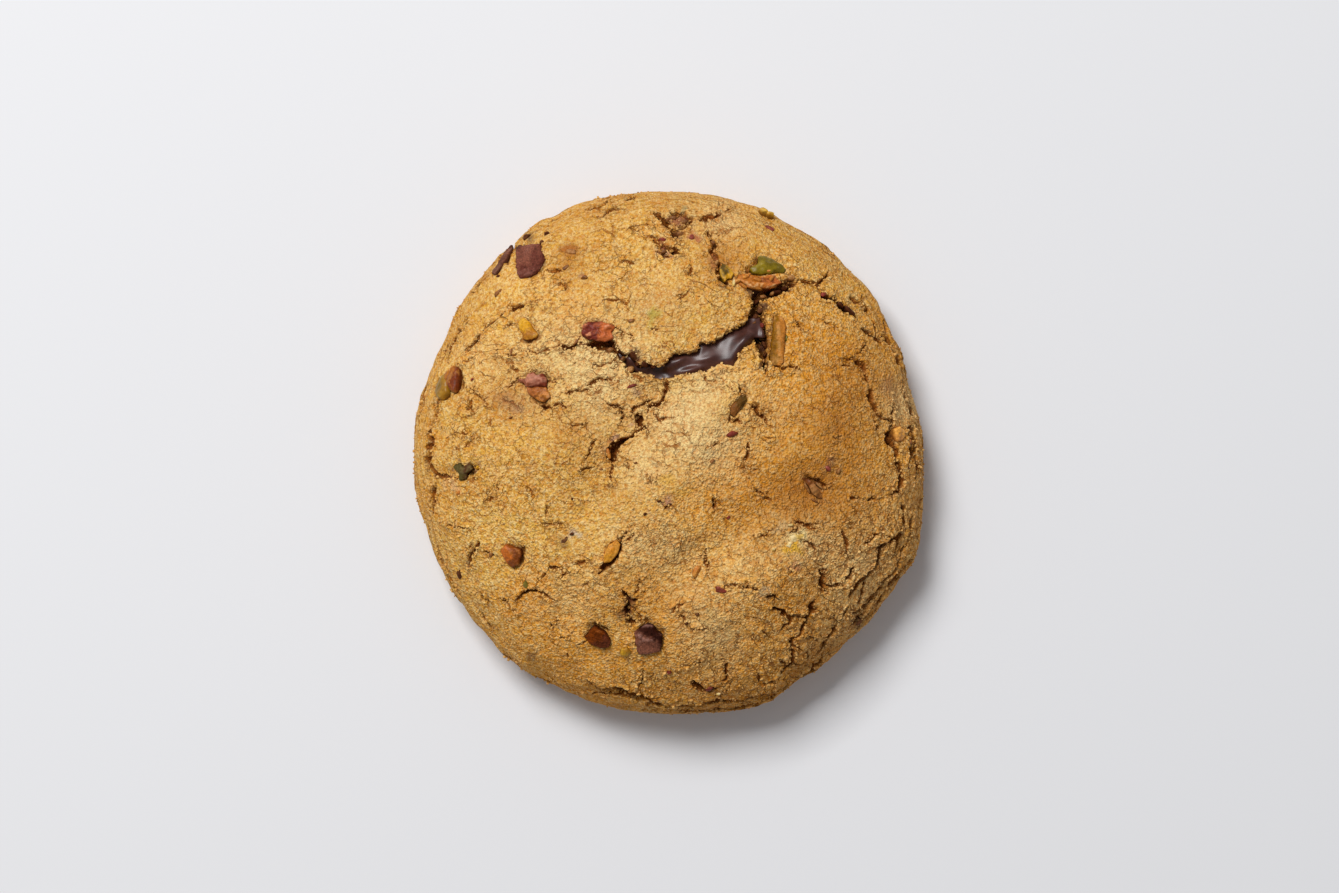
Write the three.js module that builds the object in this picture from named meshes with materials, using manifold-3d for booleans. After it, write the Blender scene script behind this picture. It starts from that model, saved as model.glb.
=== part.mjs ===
// A thick pistachio cookie: one baked dough body with a split top, melted chocolate standing in
// the main crack, chocolate chunks and pistachio pieces set into the crust.
// Millimetres, +Z up, origin under the middle of the cookie at the level it rests on.

import * as THREE from 'three';
import { mergeVertices } from 'three/addons/utils/BufferGeometryUtils.js';
import Module from 'manifold-3d';

const wasm = await Module();
wasm.setup();

// ---- driving dimensions -------------------------------------------------------------------

const MEAN_RADIUS = 49.8;
const DOME_TOP = 30;
const WIDEST_LEVEL = 9;
const BASE_TUCK = 4.6;
const DOME_ROUNDNESS = 2.6;
const DOME_FULLNESS = 0.62;
const SWELL_FADE_POWER = 6;

const FACET_SIZE = 2.75;
const SKIN_LENGTH_PER_RADIUS = 1.37;
const PROFILE_STEPS = 240;
const SLOPE_STEP = 0.4;
const TOUCH_GAP = 0.3;

const CUTTER_RISE = 1.2;
const CRACK_END_WIDTH = 0.6;
const CRACK_END_DEPTH = 0.25;
const SPLIT_FLOOR_LEVEL = 20.5;
const SPLIT_LIP_LEVEL = 29;
const SPLIT_OPEN_LEVEL = 34;
const SPLIT_TAPER = 0.5;

const POOL_DEPTH_BELOW_LIP = 2.2;
const POOL_WAVE = { height: 0.35, turnsX: 0.9, turnsY: 1.1 };
const POOL_STEPS = { x: 16, y: 8 };
const POOL_GAP_SIDES = 8;

const CHUNK_FOOT_SHARE = 0.8;
const CHUNK_TOP_SHARE = 0.86;
const CHUNK_WAIST = 0.4;
const NUT_UNEVENNESS = { height: 0.07, turnsX: 3.1, turnsY: 2.7 };
const NUT_TAPER = 0.16;

// Rounded bulges and flats of the outline: where round the rim, how wide and how far out.
const RIM_BUMPS = [
  { name: 'flat of the right side', angle: 16, spread: 17, out: -1.8 },
  { name: 'bulge of the far side', angle: 107, spread: 38, out: 1.35 },
  { name: 'lump beside the large chunk', angle: 119.5, spread: 4, out: 0.8 },
  { name: 'notch beside the large chunk', angle: 126, spread: 3, out: -0.6 },
  { name: 'flat of the left side', angle: 158, spread: 14, out: -1.0 },
  { name: 'dip of the left side', angle: 198, spread: 7, out: -0.4 },
  { name: 'near left bulge', angle: 236, spread: 20, out: 0.6 },
  { name: 'near bulge', angle: 268, spread: 14, out: 0.7 },
  { name: 'lip of the near right side', angle: 289, spread: 13, out: 1.9 },
  { name: 'near right bulge', angle: 320, spread: 12, out: 0.7 },
  { name: 'lip of the right side', angle: 339, spread: 8, out: 1.7 },
];

// Plates and valleys of the top: middle, half-length, half-width, turn of the long way, rise.
const SWELLS = [
  { name: 'middle ridge', x: 3.6, y: -0.3, long: 19, short: 5.2, turn: 52, rise: 1.7 },
  { name: 'valley left of the ridge', x: -8.2, y: 3.4, long: 15, short: 3.8, turn: 52, rise: -1.3 },
  { name: 'valley near the ridge', x: 6, y: -19.5, long: 17, short: 4.2, turn: 40, rise: -1.5 },
  { name: 'near ridge', x: 15, y: -28, long: 15, short: 4.8, turn: 40, rise: 1.4 },
  { name: 'far plate', x: 3, y: 27, long: 13, short: 8, turn: 15, rise: 1.2 },
  { name: 'right hump', x: 33, y: 9, long: 10, short: 9, turn: 0, rise: 0.9 },
  { name: 'right hollow', x: 28.5, y: -7, long: 6, short: 5, turn: 30, rise: -0.9 },
  { name: 'left plate', x: -27, y: -6, long: 14, short: 12, turn: 60, rise: 0.6 },
  { name: 'hollow round the red nut', x: -30, y: 10, long: 6, short: 5, turn: 0, rise: -0.5 },
  { name: 'crumbled pit', x: 2, y: 44.5, long: 4, short: 3, turn: 0, rise: -1.2 },
];

// The split in the top: its lip, and the line down its middle that the walls lean towards.
const SPLIT_LIP = [
  [-10, 18.8], [-7.7, 16.4], [-5, 15.2], [-1.5, 13.9], [4.5, 15], [9, 16.5], [12.3, 16.7],
  [13.9, 19.5], [16.1, 21.3], [17, 19], [17.4, 15.8], [18.5, 15], [19, 19], [18.6, 23.6],
  [18.3, 26.3], [17.7, 28.8], [20.3, 29.8], [22.9, 31.2], [25, 32.8], [22, 33.6], [20, 32.2],
  [16.3, 31.4], [15.3, 28], [15, 25.3], [12.9, 23.8], [10, 22.4], [8, 21.3], [5.3, 20.8],
  [4.8, 19.2], [-0.2, 18.4], [-1.5, 16.6], [-4.4, 17.3], [-5.8, 16.7], [-7.6, 19],
];
const SPLIT_MIDDLE = [
  [-9.4, 18.6], [-5, 16], [-1, 15.7], [4, 17.2], [10, 19.2], [15, 22.6], [16.8, 26], [16.8, 29.6],
  [19.5, 31], [24, 32.6],
];
const POOL_BOX = { left: -4.2, right: 18.4, near: 12, far: 26.6 };

// Narrow cracks: mouth width, depth and the points that the line passes on the crust.
const CRACKS = [
  { width: 1.0, depth: 2.6,
    line: [[-0.9, 12.4], [-2.8, 9.3], [-5.4, 6.6], [-7, 3.6], [-10.6, 0.8], [-11.3, -4.1]] },
  { width: 0.8, depth: 2.0, line: [[-12.7, 10], [-10, 8.7], [-8.9, 5.8]] },
  { width: 1.1, depth: 2.6, line: [[28.4, 32.2], [29.2, 30.1], [33, 28], [36.5, 25.3], [39, 23.6]] },
  { width: 1.1, depth: 2.4, line: [[36.2, 17.1], [38.2, 13], [39.5, 9], [41, 6.7], [43, 5.5]] },
  { width: 0.9, depth: 2.2, line: [[42.9, 2.2], [43.8, 0.5], [44.8, -3], [44.7, -6.7]] },
  { width: 1.2, depth: 2.8, line: [[43.6, -16.2], [41.4, -18], [40.3, -21], [38.5, -23], [36.2, -25]] },
  { width: 0.9, depth: 2.2, line: [[33.4, -15.8], [33.7, -19.5], [35.4, -22], [34.8, -23.2]] },
  { width: 1.2, depth: 2.6,
    line: [[27.3, -27.8], [27.1, -30], [25.6, -33.5], [23.7, -35.6], [23.5, -38.5]] },
  { width: 1.0, depth: 2.2, line: [[19.5, -29.1], [22.8, -30.4], [22.2, -33.4], [22.5, -34.7]] },
  { width: 1.2, depth: 2.4,
    line: [[-14, -46], [-10.5, -45.6], [-6, -47.2], [0, -48.4], [6, -48.5], [14, -47.4], [20, -45.4]] },
  { width: 0.9, depth: 2.0, line: [[-28.8, -27.8], [-27, -26.5], [-24.4, -25.9]] },
  { width: 0.9, depth: 2.2, line: [[-8.2, -26.6], [-8, -29.4], [-7.4, -32]] },
  { width: 0.9, depth: 2.0, line: [[-9.6, -20.6], [-11.5, -21.6], [-13.5, -23.2]] },
  { width: 1.0, depth: 2.0, line: [[-39.3, 20.3], [-37, 22], [-33.6, 24.9], [-30.6, 27.6], [-26, 29]] },
  { width: 0.9, depth: 1.8, line: [[-46.2, 4.6], [-45.7, 1.2], [-46.5, -2], [-46.2, -5]] },
  { width: 1.2, depth: 2.4, line: [[-0.6, 45.6], [0.6, 43.6], [1.6, 41.6], [3.4, 39.4]] },
  { width: 1.0, depth: 2.0, line: [[7.6, 41.4], [8.6, 38.8], [8.9, 36.9]] },
];

// Chocolate chunks: outline on the crust, height of the block and how much of it stands out.
const CHUNKS = [
  { name: 'chocolate_chunk_far_left', thick: 5, out: 0.7,
    outline: [[-29.9, 40], [-29.5, 35], [-28.8, 33.5], [-26.6, 34], [-25, 35.3], [-23.9, 37.2], [-25, 40.3]] },
  { name: 'chocolate_chunk_near_middle', thick: 4, out: 0.5,
    outline: [[-6.8, -33.6], [-6.8, -36.6], [-5.8, -38.3], [-2.5, -37.8], [-1.6, -36.2], [-1.5, -34.4],
      [-4.2, -32.7]] },
  { name: 'chocolate_chunk_near_left', thick: 3.6, out: 0.3,
    outline: [[-16.6, -35.3], [-15, -36.5], [-12, -37.2], [-11.1, -36], [-12.2, -34.3], [-14.3, -33.4],
      [-15.5, -33.4]] },
  { name: 'chocolate_smear_far_left', thick: 2, out: 0.3,
    outline: [[-32.5, 38], [-34.4, 34.7], [-33.7, 34.3], [-31.9, 37.2], [-30.4, 39.9], [-30.9, 40.5]] },
];

// Pistachio pieces: place on the crust, length, width and thickness, turn of the long way, how
// much of the piece stands out of the crust, and colour.
const GREEN = '#7f8c2c';
const OLIVE = '#8f7f34';
const YELLOW = '#c79a3c';
const RED_SKIN = '#7a3f28';
const ORANGE = '#a9652e';
const NUTS = [
  { name: 'pistachio_green_half', at: [18.5, 35.9], size: [7.4, 3.4, 3.6], turn: -6, out: 0.8,
    color: GREEN },
  { name: 'pistachio_broken_flesh', at: [16.6, 32.6], size: [7.8, 2.3, 3], turn: 1, out: 0.4,
    color: ORANGE },
  { name: 'pistachio_sliver_far', at: [10.8, 34.3], size: [4.8, 2.4, 3], turn: 108, out: 0.5,
    color: YELLOW },
  { name: 'pistachio_long_right', at: [20.5, 21.3], size: [9, 2.2, 3], turn: 88, out: 0.4, color: OLIVE },
  { name: 'pistachio_left_rim_green', at: [-43.8, 12.2], size: [3.4, 2, 2.6], turn: 72, out: 0.6,
    color: GREEN },
  { name: 'pistachio_left_rim_red', at: [-41.5, 14.2], size: [4.6, 2, 2.4], turn: 75, out: 0.6,
    color: RED_SKIN },
  { name: 'pistachio_red_half', at: [-13.6, 22.9], size: [6.6, 4.2, 4.4], turn: -6, out: 1.1,
    color: RED_SKIN },
  { name: 'pistachio_left_upper_lobe', at: [-25.9, 14.3], size: [5.2, 2.3, 3], turn: -2, out: 0.8,
    color: RED_SKIN },
  { name: 'pistachio_left_lower_lobe', at: [-25, 11], size: [4.8, 2.5, 2.6], turn: -38, out: 0.6,
    color: ORANGE },
  { name: 'pistachio_yellow_left', at: [-27, 23.6], size: [4.8, 2.8, 2.8], turn: -56, out: 0.6,
    color: YELLOW },
  { name: 'pistachio_orange_near_left', at: [-30.3, -19.6], size: [4.8, 3.5, 3.4], turn: -45, out: 0.7,
    color: ORANGE },
  { name: 'pistachio_orange_middle', at: [-11, -18.7], size: [4, 1.9, 2.6], turn: 72, out: 0.5,
    color: ORANGE },
  { name: 'pistachio_olive_strip', at: [12.8, 8.9], size: [4.9, 1.9, 2.4], turn: 54, out: 0.4,
    color: OLIVE },
  { name: 'pistachio_dark_left', at: [-39.5, -3.4], size: [3.6, 2.7, 2.4], turn: -10, out: 0.3,
    color: OLIVE },
  { name: 'pistachio_right_rim', at: [44.1, 3.7], size: [3.2, 2.1, 2.4], turn: 85, out: 0.5,
    color: ORANGE },
  { name: 'pistachio_fibrous_right', at: [27.4, -6.7], size: [5.4, 2.2, 2.4], turn: -44, out: 0.3,
    color: RED_SKIN },
];

// ---- shape of the dough -------------------------------------------------------------------

const degrees = THREE.MathUtils.degToRad;

/** Smallest turn from one angle to another, in degrees. */
function angleGap(from, to) {
  return Math.abs(THREE.MathUtils.euclideanModulo(to - from + 180, 360) - 180);
}

/** Radius of the widest outline in the direction of an angle in radians. */
function rimRadius(angle) {
  const direction = THREE.MathUtils.radToDeg(angle);
  let radius = MEAN_RADIUS;
  for (const bump of RIM_BUMPS) {
    radius += bump.out * Math.exp(-((angleGap(bump.angle, direction) / bump.spread) ** 2));
  }
  return radius;
}

/** Rise of the plates and valleys of the top over a smooth dome. */
function swellRise(x, y) {
  let rise = 0;
  for (const swell of SWELLS) {
    const cos = Math.cos(degrees(swell.turn));
    const sin = Math.sin(degrees(swell.turn));
    const along = ((x - swell.x) * cos + (y - swell.y) * sin) / swell.long;
    const across = ((y - swell.y) * cos - (x - swell.x) * sin) / swell.short;
    rise += swell.rise * Math.exp(-(along * along + across * across));
  }
  return rise;
}

/** Level of the top crust over a point inside the outline. */
function crustLevel(x, y) {
  const share = Math.min(1, Math.hypot(x, y) / rimRadius(Math.atan2(y, x)));
  const dome = (1 - share ** DOME_ROUNDNESS) ** DOME_FULLNESS;
  const fade = 1 - share ** SWELL_FADE_POWER;
  return WIDEST_LEVEL + (DOME_TOP - WIDEST_LEVEL) * dome + swellRise(x, y) * fade;
}

/** Point of the crust under a place, with the outward direction there. */
function crustFrame(x, y) {
  const slopeX = (crustLevel(x + SLOPE_STEP, y) - crustLevel(x - SLOPE_STEP, y)) / (2 * SLOPE_STEP);
  const slopeY = (crustLevel(x, y + SLOPE_STEP) - crustLevel(x, y - SLOPE_STEP)) / (2 * SLOPE_STEP);
  return {
    point: new THREE.Vector3(x, y, crustLevel(x, y)),
    outward: new THREE.Vector3(-slopeX, -slopeY, 1).normalize(),
  };
}

/** Upright section of a round cookie from the top middle to the edge of the flat base. */
function sectionPoints() {
  const points = [];
  for (let step = 0; step <= PROFILE_STEPS; step++) {
    const turn = (step / PROFILE_STEPS) * Math.PI / 2;
    points.push({ share: Math.sin(turn) ** (2 / DOME_ROUNDNESS), under: 0 });
  }
  for (let step = 1; step <= PROFILE_STEPS; step++) {
    points.push({ share: 1, under: (step / PROFILE_STEPS) * Math.PI / 2 });
  }
  return points;
}

/** Point of the skin for a place on the section and an angle round the cookie. */
function skinPoint(place, angle) {
  const radius = rimRadius(angle) * place.share - BASE_TUCK * (1 - Math.cos(place.under));
  const x = radius * Math.cos(angle);
  const y = radius * Math.sin(angle);
  const level = place.under > 0 ? WIDEST_LEVEL * (1 - Math.sin(place.under)) : crustLevel(x, y);
  return new THREE.Vector3(x, y, level);
}

/** Places on the section, evenly spaced along its length, one for each ring of the skin. */
function evenPlaces(count) {
  const places = sectionPoints();
  const reached = [0];
  for (let i = 1; i < places.length; i++) {
    reached.push(reached[i - 1] + skinPoint(places[i - 1], 0).distanceTo(skinPoint(places[i], 0)));
  }
  const rings = [];
  let at = 0;
  for (let ring = 1; ring <= count; ring++) {
    const wanted = (reached[reached.length - 1] * ring) / count;
    while (at < places.length - 1 && reached[at] < wanted - 1e-9) {
      at += 1;
    }
    rings.push(places[at]);
  }
  return rings;
}

/** Closed skin of the dough: ring k holds 6k points, and the base is one flat fan. */
function doughSkin() {
  const places = evenPlaces(Math.round((MEAN_RADIUS * SKIN_LENGTH_PER_RADIUS) / FACET_SIZE));
  const points = [new THREE.Vector3(0, 0, crustLevel(0, 0))];
  const starts = [0];
  places.forEach((place, index) => {
    const count = 6 * (index + 1);
    starts.push(points.length);
    for (let j = 0; j < count; j++) {
      points.push(skinPoint(place, (j / count) * Math.PI * 2));
    }
  });
  const faces = [];
  for (let ring = 1; ring <= places.length; ring++) {
    faces.push(...ringFaces(starts, ring));
  }
  const last = places.length;
  const centre = points.length;
  points.push(new THREE.Vector3(0, 0, 0));
  for (let j = 0; j < 6 * last; j++) {
    faces.push(centre, starts[last] + ((j + 1) % (6 * last)), starts[last] + j);
  }
  return { points, faces };
}

/** Triangles between ring - 1 and ring of a hexagonal disc of rings. */
function ringFaces(starts, ring) {
  const faces = [];
  const inner = (j) => (ring === 1 ? 0 : starts[ring - 1] + (j % (6 * (ring - 1))));
  const outer = (j) => starts[ring] + (j % (6 * ring));
  for (let side = 0; side < 6; side++) {
    for (let k = 0; k < ring; k++) {
      const near = side * (ring - 1) + k;
      const far = side * ring + k;
      faces.push(inner(near), outer(far), outer(far + 1));
      if (k < ring - 1) {
        faces.push(inner(near), outer(far + 1), inner(near + 1));
      }
    }
  }
  return faces;
}

// ---- closed solids ------------------------------------------------------------------------

/** Solid for joining and cutting, from points and triangle corners, turned to face outwards. */
function solidFrom(points, faces) {
  let volume = 0;
  for (let i = 0; i < faces.length; i += 3) {
    const [a, b, c] = [points[faces[i]], points[faces[i + 1]], points[faces[i + 2]]];
    volume += a.dot(b.clone().cross(c));
  }
  const corners = volume > 0 ? faces : faces.slice().reverse();
  const vertProperties = Float32Array.from(points.flatMap((point) => point.toArray()));
  const triVerts = Uint32Array.from(corners);
  return new wasm.Manifold(new wasm.Mesh({ numProp: 3, vertProperties, triVerts }));
}

/** Solid for joining and cutting, from a three.js geometry without open edges. */
function solidFromGeometry(geometry) {
  const bare = geometry.clone();
  bare.deleteAttribute('normal');
  bare.deleteAttribute('uv');
  const merged = mergeVertices(bare, 1e-4);
  const position = merged.getAttribute('position');
  const points = [];
  for (let i = 0; i < position.count; i++) {
    points.push(new THREE.Vector3().fromBufferAttribute(position, i));
  }
  return solidFrom(points, Array.from(merged.getIndex().array));
}

/** Solid whose skin runs through rings of equally many points, closed at both ends. */
function loft(rings) {
  const count = rings[0].length;
  const points = rings.flat();
  const faces = [];
  for (let ring = 1; ring < rings.length; ring++) {
    for (let j = 0; j < count; j++) {
      const [a, b] = [(ring - 1) * count + j, (ring - 1) * count + ((j + 1) % count)];
      const [c, d] = [ring * count + j, ring * count + ((j + 1) % count)];
      faces.push(a, b, d, a, d, c);
    }
  }
  const lastStart = (rings.length - 1) * count;
  for (const [a, b, c] of capFaces(rings[0])) {
    faces.push(a, c, b);
  }
  for (const [a, b, c] of capFaces(rings[rings.length - 1])) {
    faces.push(lastStart + a, lastStart + b, lastStart + c);
  }
  return solidFrom(points, faces);
}

/** Triangles that close a ring, found in the plane of its first, middle and last points. */
function capFaces(ring) {
  if (ring.length === 3) {
    return [[0, 1, 2]];
  }
  return THREE.ShapeUtils.triangulateShape(ring.map((point) => new THREE.Vector2(point.x, point.y)), []);
}

/** Geometry of a finished solid. */
function geometryFrom(solid) {
  const mesh = solid.getMesh();
  const stride = mesh.numProp;
  const position = new Float32Array((mesh.vertProperties.length / stride) * 3);
  for (let i = 0; i < position.length / 3; i++) {
    position.set(mesh.vertProperties.subarray(i * stride, i * stride + 3), i * 3);
  }
  const geometry = new THREE.BufferGeometry();
  geometry.setAttribute('position', new THREE.BufferAttribute(position, 3));
  geometry.setIndex(new THREE.BufferAttribute(Uint32Array.from(mesh.triVerts), 1));
  geometry.computeVertexNormals();
  return geometry;
}

// ---- the split and the cracks -------------------------------------------------------------

/** Nearest point of the line down the middle of the split. */
function nearestMiddle(x, y) {
  const place = new THREE.Vector3(x, y, 0);
  let best = null;
  for (let i = 1; i < SPLIT_MIDDLE.length; i++) {
    const piece = new THREE.Line3(
      new THREE.Vector3(...SPLIT_MIDDLE[i - 1], 0),
      new THREE.Vector3(...SPLIT_MIDDLE[i], 0),
    );
    const candidate = piece.closestPointToPoint(place, true, new THREE.Vector3());
    if (best === null || candidate.distanceTo(place) < best.distanceTo(place)) {
      best = candidate;
    }
  }
  return best;
}

/** Lip of the split, leaning in towards its middle by a share of the way. */
function splitRing(level, share) {
  return SPLIT_LIP.map(([x, y]) => {
    const middle = nearestMiddle(x, y);
    return new THREE.Vector3(x + (middle.x - x) * share, y + (middle.y - y) * share, level);
  });
}

/** Space of the split, from over the crust down to its floor. */
function splitSpace() {
  return loft([
    splitRing(SPLIT_FLOOR_LEVEL, SPLIT_TAPER),
    splitRing(SPLIT_LIP_LEVEL, 0),
    splitRing(SPLIT_OPEN_LEVEL, 0),
  ]);
}

/** Sharp groove along a line on the crust, running out to nothing at both ends. */
function crackCutter({ width, depth, line }) {
  const frames = line.map(([x, y]) => crustFrame(x, y));
  const rings = frames.map(({ point, outward }, i) => {
    const from = frames[Math.max(0, i - 1)].point;
    const to = frames[Math.min(frames.length - 1, i + 1)].point;
    const across = to.clone().sub(from).cross(outward).normalize();
    const atEnd = i === 0 || i === frames.length - 1;
    const half = (width / 2) * (atEnd ? CRACK_END_WIDTH : 1);
    const flare = half * (1 + CUTTER_RISE / depth);
    const deep = depth * (atEnd ? CRACK_END_DEPTH : 1);
    const high = point.clone().addScaledVector(outward, CUTTER_RISE);
    return [
      high.clone().addScaledVector(across, flare),
      high.clone().addScaledVector(across, -flare),
      point.clone().addScaledVector(outward, -deep),
    ];
  });
  return loft(rings);
}

// ---- what is set into the crust -----------------------------------------------------------

/** Block with a waved top that reaches the level of the melted chocolate. */
function poolBlock() {
  const level = crustLevel(8, 14) - POOL_DEPTH_BELOW_LIP;
  const block = new THREE.BoxGeometry(
    POOL_BOX.right - POOL_BOX.left,
    POOL_BOX.far - POOL_BOX.near,
    level - SPLIT_FLOOR_LEVEL,
    POOL_STEPS.x,
    POOL_STEPS.y,
    1,
  );
  block.translate(
    (POOL_BOX.left + POOL_BOX.right) / 2,
    (POOL_BOX.near + POOL_BOX.far) / 2,
    (level + SPLIT_FLOOR_LEVEL) / 2,
  );
  const position = block.getAttribute('position');
  for (let i = 0; i < position.count; i++) {
    if (position.getZ(i) > SPLIT_FLOOR_LEVEL + 1) {
      const across = Math.sin(position.getX(i) * POOL_WAVE.turnsX);
      const wave = across + Math.cos(position.getY(i) * POOL_WAVE.turnsY);
      position.setZ(i, level + POOL_WAVE.height * wave);
    }
  }
  return solidFromGeometry(block);
}

/** Chocolate standing in the split, clear of the dough by the touch gap on every side. */
function poolSolid(dough) {
  let pool = splitSpace().intersect(poolBlock());
  for (let step = 0; step < POOL_GAP_SIDES; step++) {
    const turn = (step / POOL_GAP_SIDES) * Math.PI * 2;
    pool = pool.subtract(dough.translate([TOUCH_GAP * Math.cos(turn), TOUCH_GAP * Math.sin(turn), 0]));
  }
  pool = pool.subtract(dough.translate([0, 0, TOUCH_GAP]));
  const bodies = pool.decompose();
  return bodies.reduce((largest, body) => (body.volume() > largest.volume() ? body : largest));
}

/** Block of chocolate, narrower at its foot and its top face, standing square to the crust. */
function chunkSolid({ outline, thick, out }, grow) {
  const middle = [0, 1].map((axis) => outline.reduce((sum, spot) => sum + spot[axis], 0) / outline.length);
  const { point: centre, outward } = crustFrame(...middle);
  const levels = [
    { height: out - thick - grow, share: CHUNK_FOOT_SHARE },
    { height: out - thick * CHUNK_WAIST, share: 1 },
    { height: out * CHUNK_WAIST + grow, share: 1 },
    { height: out + grow, share: CHUNK_TOP_SHARE },
  ];
  return loft(levels.map(({ height, share }) => outline.map(([x, y]) => {
    const away = crustFrame(x, y).point.sub(centre);
    const lift = away.dot(outward);
    away.addScaledVector(outward, -lift);
    away.setLength(away.length() * share + grow);
    return away.addScaledVector(outward, lift + height).add(centre);
  })));
}

/** Half-buried pistachio piece: an uneven rounded body lying along the crust. */
function nutSolid({ at: [x, y], size: [length, width, thick], turn, out }, grow) {
  const { point, outward } = crustFrame(x, y);
  const along = new THREE.Vector3(Math.cos(degrees(turn)), Math.sin(degrees(turn)), 0);
  along.addScaledVector(outward, -along.dot(outward)).normalize();
  const across = outward.clone().cross(along);
  const middle = point.clone().addScaledVector(outward, out - thick / 2);
  const ball = new THREE.IcosahedronGeometry(1, 1);
  const position = ball.getAttribute('position');
  const corner = new THREE.Vector3();
  for (let i = 0; i < position.count; i++) {
    corner.fromBufferAttribute(position, i);
    const { height, turnsX, turnsY } = NUT_UNEVENNESS;
    const uneven = 1 + height * Math.sin(turnsX * corner.x + x) * Math.cos(turnsY * corner.y + y);
    const taper = 1 - NUT_TAPER * corner.x;
    const a = corner.x * (uneven * length / 2 + grow);
    const b = corner.y * (uneven * taper * width / 2 + grow);
    const c = corner.z * (uneven * thick / 2 + grow);
    corner.copy(middle).addScaledVector(along, a).addScaledVector(across, b).addScaledVector(outward, c);
    position.setXYZ(i, corner.x, corner.y, corner.z);
  }
  return solidFromGeometry(ball);
}

// ---- materials ----------------------------------------------------------------------------

function crustMaterial() {
  return new THREE.MeshStandardMaterial({ color: '#c3934e', roughness: 0.85, metalness: 0 });
}

function chocolateMaterial(roughness) {
  return new THREE.MeshStandardMaterial({ color: '#4a2b22', roughness, metalness: 0 });
}

function nutMaterial(color) {
  return new THREE.MeshStandardMaterial({ color, roughness: 0.5, metalness: 0 });
}

// ---- the cookie ---------------------------------------------------------------------------

/** Named mesh of a finished solid. */
function namedMesh(name, solid, material) {
  const mesh = new THREE.Mesh(geometryFrom(solid), material);
  mesh.name = name;
  return mesh;
}

/** Dough with the split, the cracks and a pocket for each piece set into it. */
function doughSolid() {
  const { points, faces } = doughSkin();
  let dough = solidFrom(points, faces).subtract(splitSpace());
  for (const crack of CRACKS) {
    dough = dough.subtract(crackCutter(crack));
  }
  for (const chunk of CHUNKS) {
    dough = dough.subtract(chunkSolid(chunk, TOUCH_GAP));
  }
  for (const nut of NUTS) {
    dough = dough.subtract(nutSolid(nut, TOUCH_GAP));
  }
  return dough;
}

/** Moves the whole group so that the middle of its box's underside is the origin. */
function standOnOrigin(group) {
  const box = new THREE.Box3().setFromObject(group);
  const middle = box.getCenter(new THREE.Vector3());
  group.position.set(-middle.x, -middle.y, -box.min.z);
}

function makeCookie() {
  const group = new THREE.Group();
  const dough = doughSolid();
  group.add(namedMesh('dough', dough, crustMaterial()));
  group.add(namedMesh('melted_chocolate', poolSolid(dough), chocolateMaterial(0.15)));
  for (const chunk of CHUNKS) {
    group.add(namedMesh(chunk.name, chunkSolid(chunk, 0), chocolateMaterial(0.6)));
  }
  for (const nut of NUTS) {
    group.add(namedMesh(nut.name, nutSolid(nut, 0), nutMaterial(nut.color)));
  }
  standOnOrigin(group);
  return group;
}

const cookie = makeCookie();

export default cookie;
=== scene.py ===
"""Looks of a thick pistachio cookie, dressed over its packed construction model.

The crust is one dense skin whose plates, cracks and crumb are real relief. Melted chocolate,
chocolate chunks and pistachio pieces are meshes of their own, and sandy grains and crumbs are
scattered over the crust. Lengths are in millimetres until a mesh is made, and turns in tables
are in degrees. Spots in tables are x and y in turn.
"""

import dataclasses
import logging
import math
from dataclasses import dataclass, field

import bmesh
import bpy
import numpy as np
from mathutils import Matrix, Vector

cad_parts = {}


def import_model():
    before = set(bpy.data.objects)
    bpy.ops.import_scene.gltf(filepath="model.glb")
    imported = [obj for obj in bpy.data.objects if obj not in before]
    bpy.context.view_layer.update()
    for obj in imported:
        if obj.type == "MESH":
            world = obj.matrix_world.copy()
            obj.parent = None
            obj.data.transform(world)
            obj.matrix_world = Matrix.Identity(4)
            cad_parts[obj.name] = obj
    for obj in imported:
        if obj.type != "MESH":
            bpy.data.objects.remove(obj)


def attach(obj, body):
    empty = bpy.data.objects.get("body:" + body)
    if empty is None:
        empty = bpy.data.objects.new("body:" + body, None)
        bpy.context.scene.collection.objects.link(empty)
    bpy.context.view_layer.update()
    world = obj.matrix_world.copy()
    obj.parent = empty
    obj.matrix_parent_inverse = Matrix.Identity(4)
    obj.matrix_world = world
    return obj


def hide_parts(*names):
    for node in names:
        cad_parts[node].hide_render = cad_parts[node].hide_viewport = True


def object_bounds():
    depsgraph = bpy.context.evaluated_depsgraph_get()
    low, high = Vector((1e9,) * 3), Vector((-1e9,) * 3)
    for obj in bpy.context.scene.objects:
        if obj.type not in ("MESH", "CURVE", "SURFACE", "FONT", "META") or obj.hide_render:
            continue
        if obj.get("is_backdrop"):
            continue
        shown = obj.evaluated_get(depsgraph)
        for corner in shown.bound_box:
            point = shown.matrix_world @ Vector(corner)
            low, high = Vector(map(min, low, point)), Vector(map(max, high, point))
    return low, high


Array = np.ndarray
Piece = bpy.types.Object
Tree = bpy.types.NodeTree
Socket = bpy.types.NodeSocket
Outputs = bpy.types.NodeOutputs
Spots = tuple[float, ...]
Rows = tuple[tuple[float, ...], ...]
Line = tuple[Array, float, float, float]

LOG = logging.getLogger("pistachio_cookie")
MM = 0.001
BODY = "root"
# Farther than anything on the cookie.
FAR = 1e9


# ---- numbers over space ----


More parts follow.
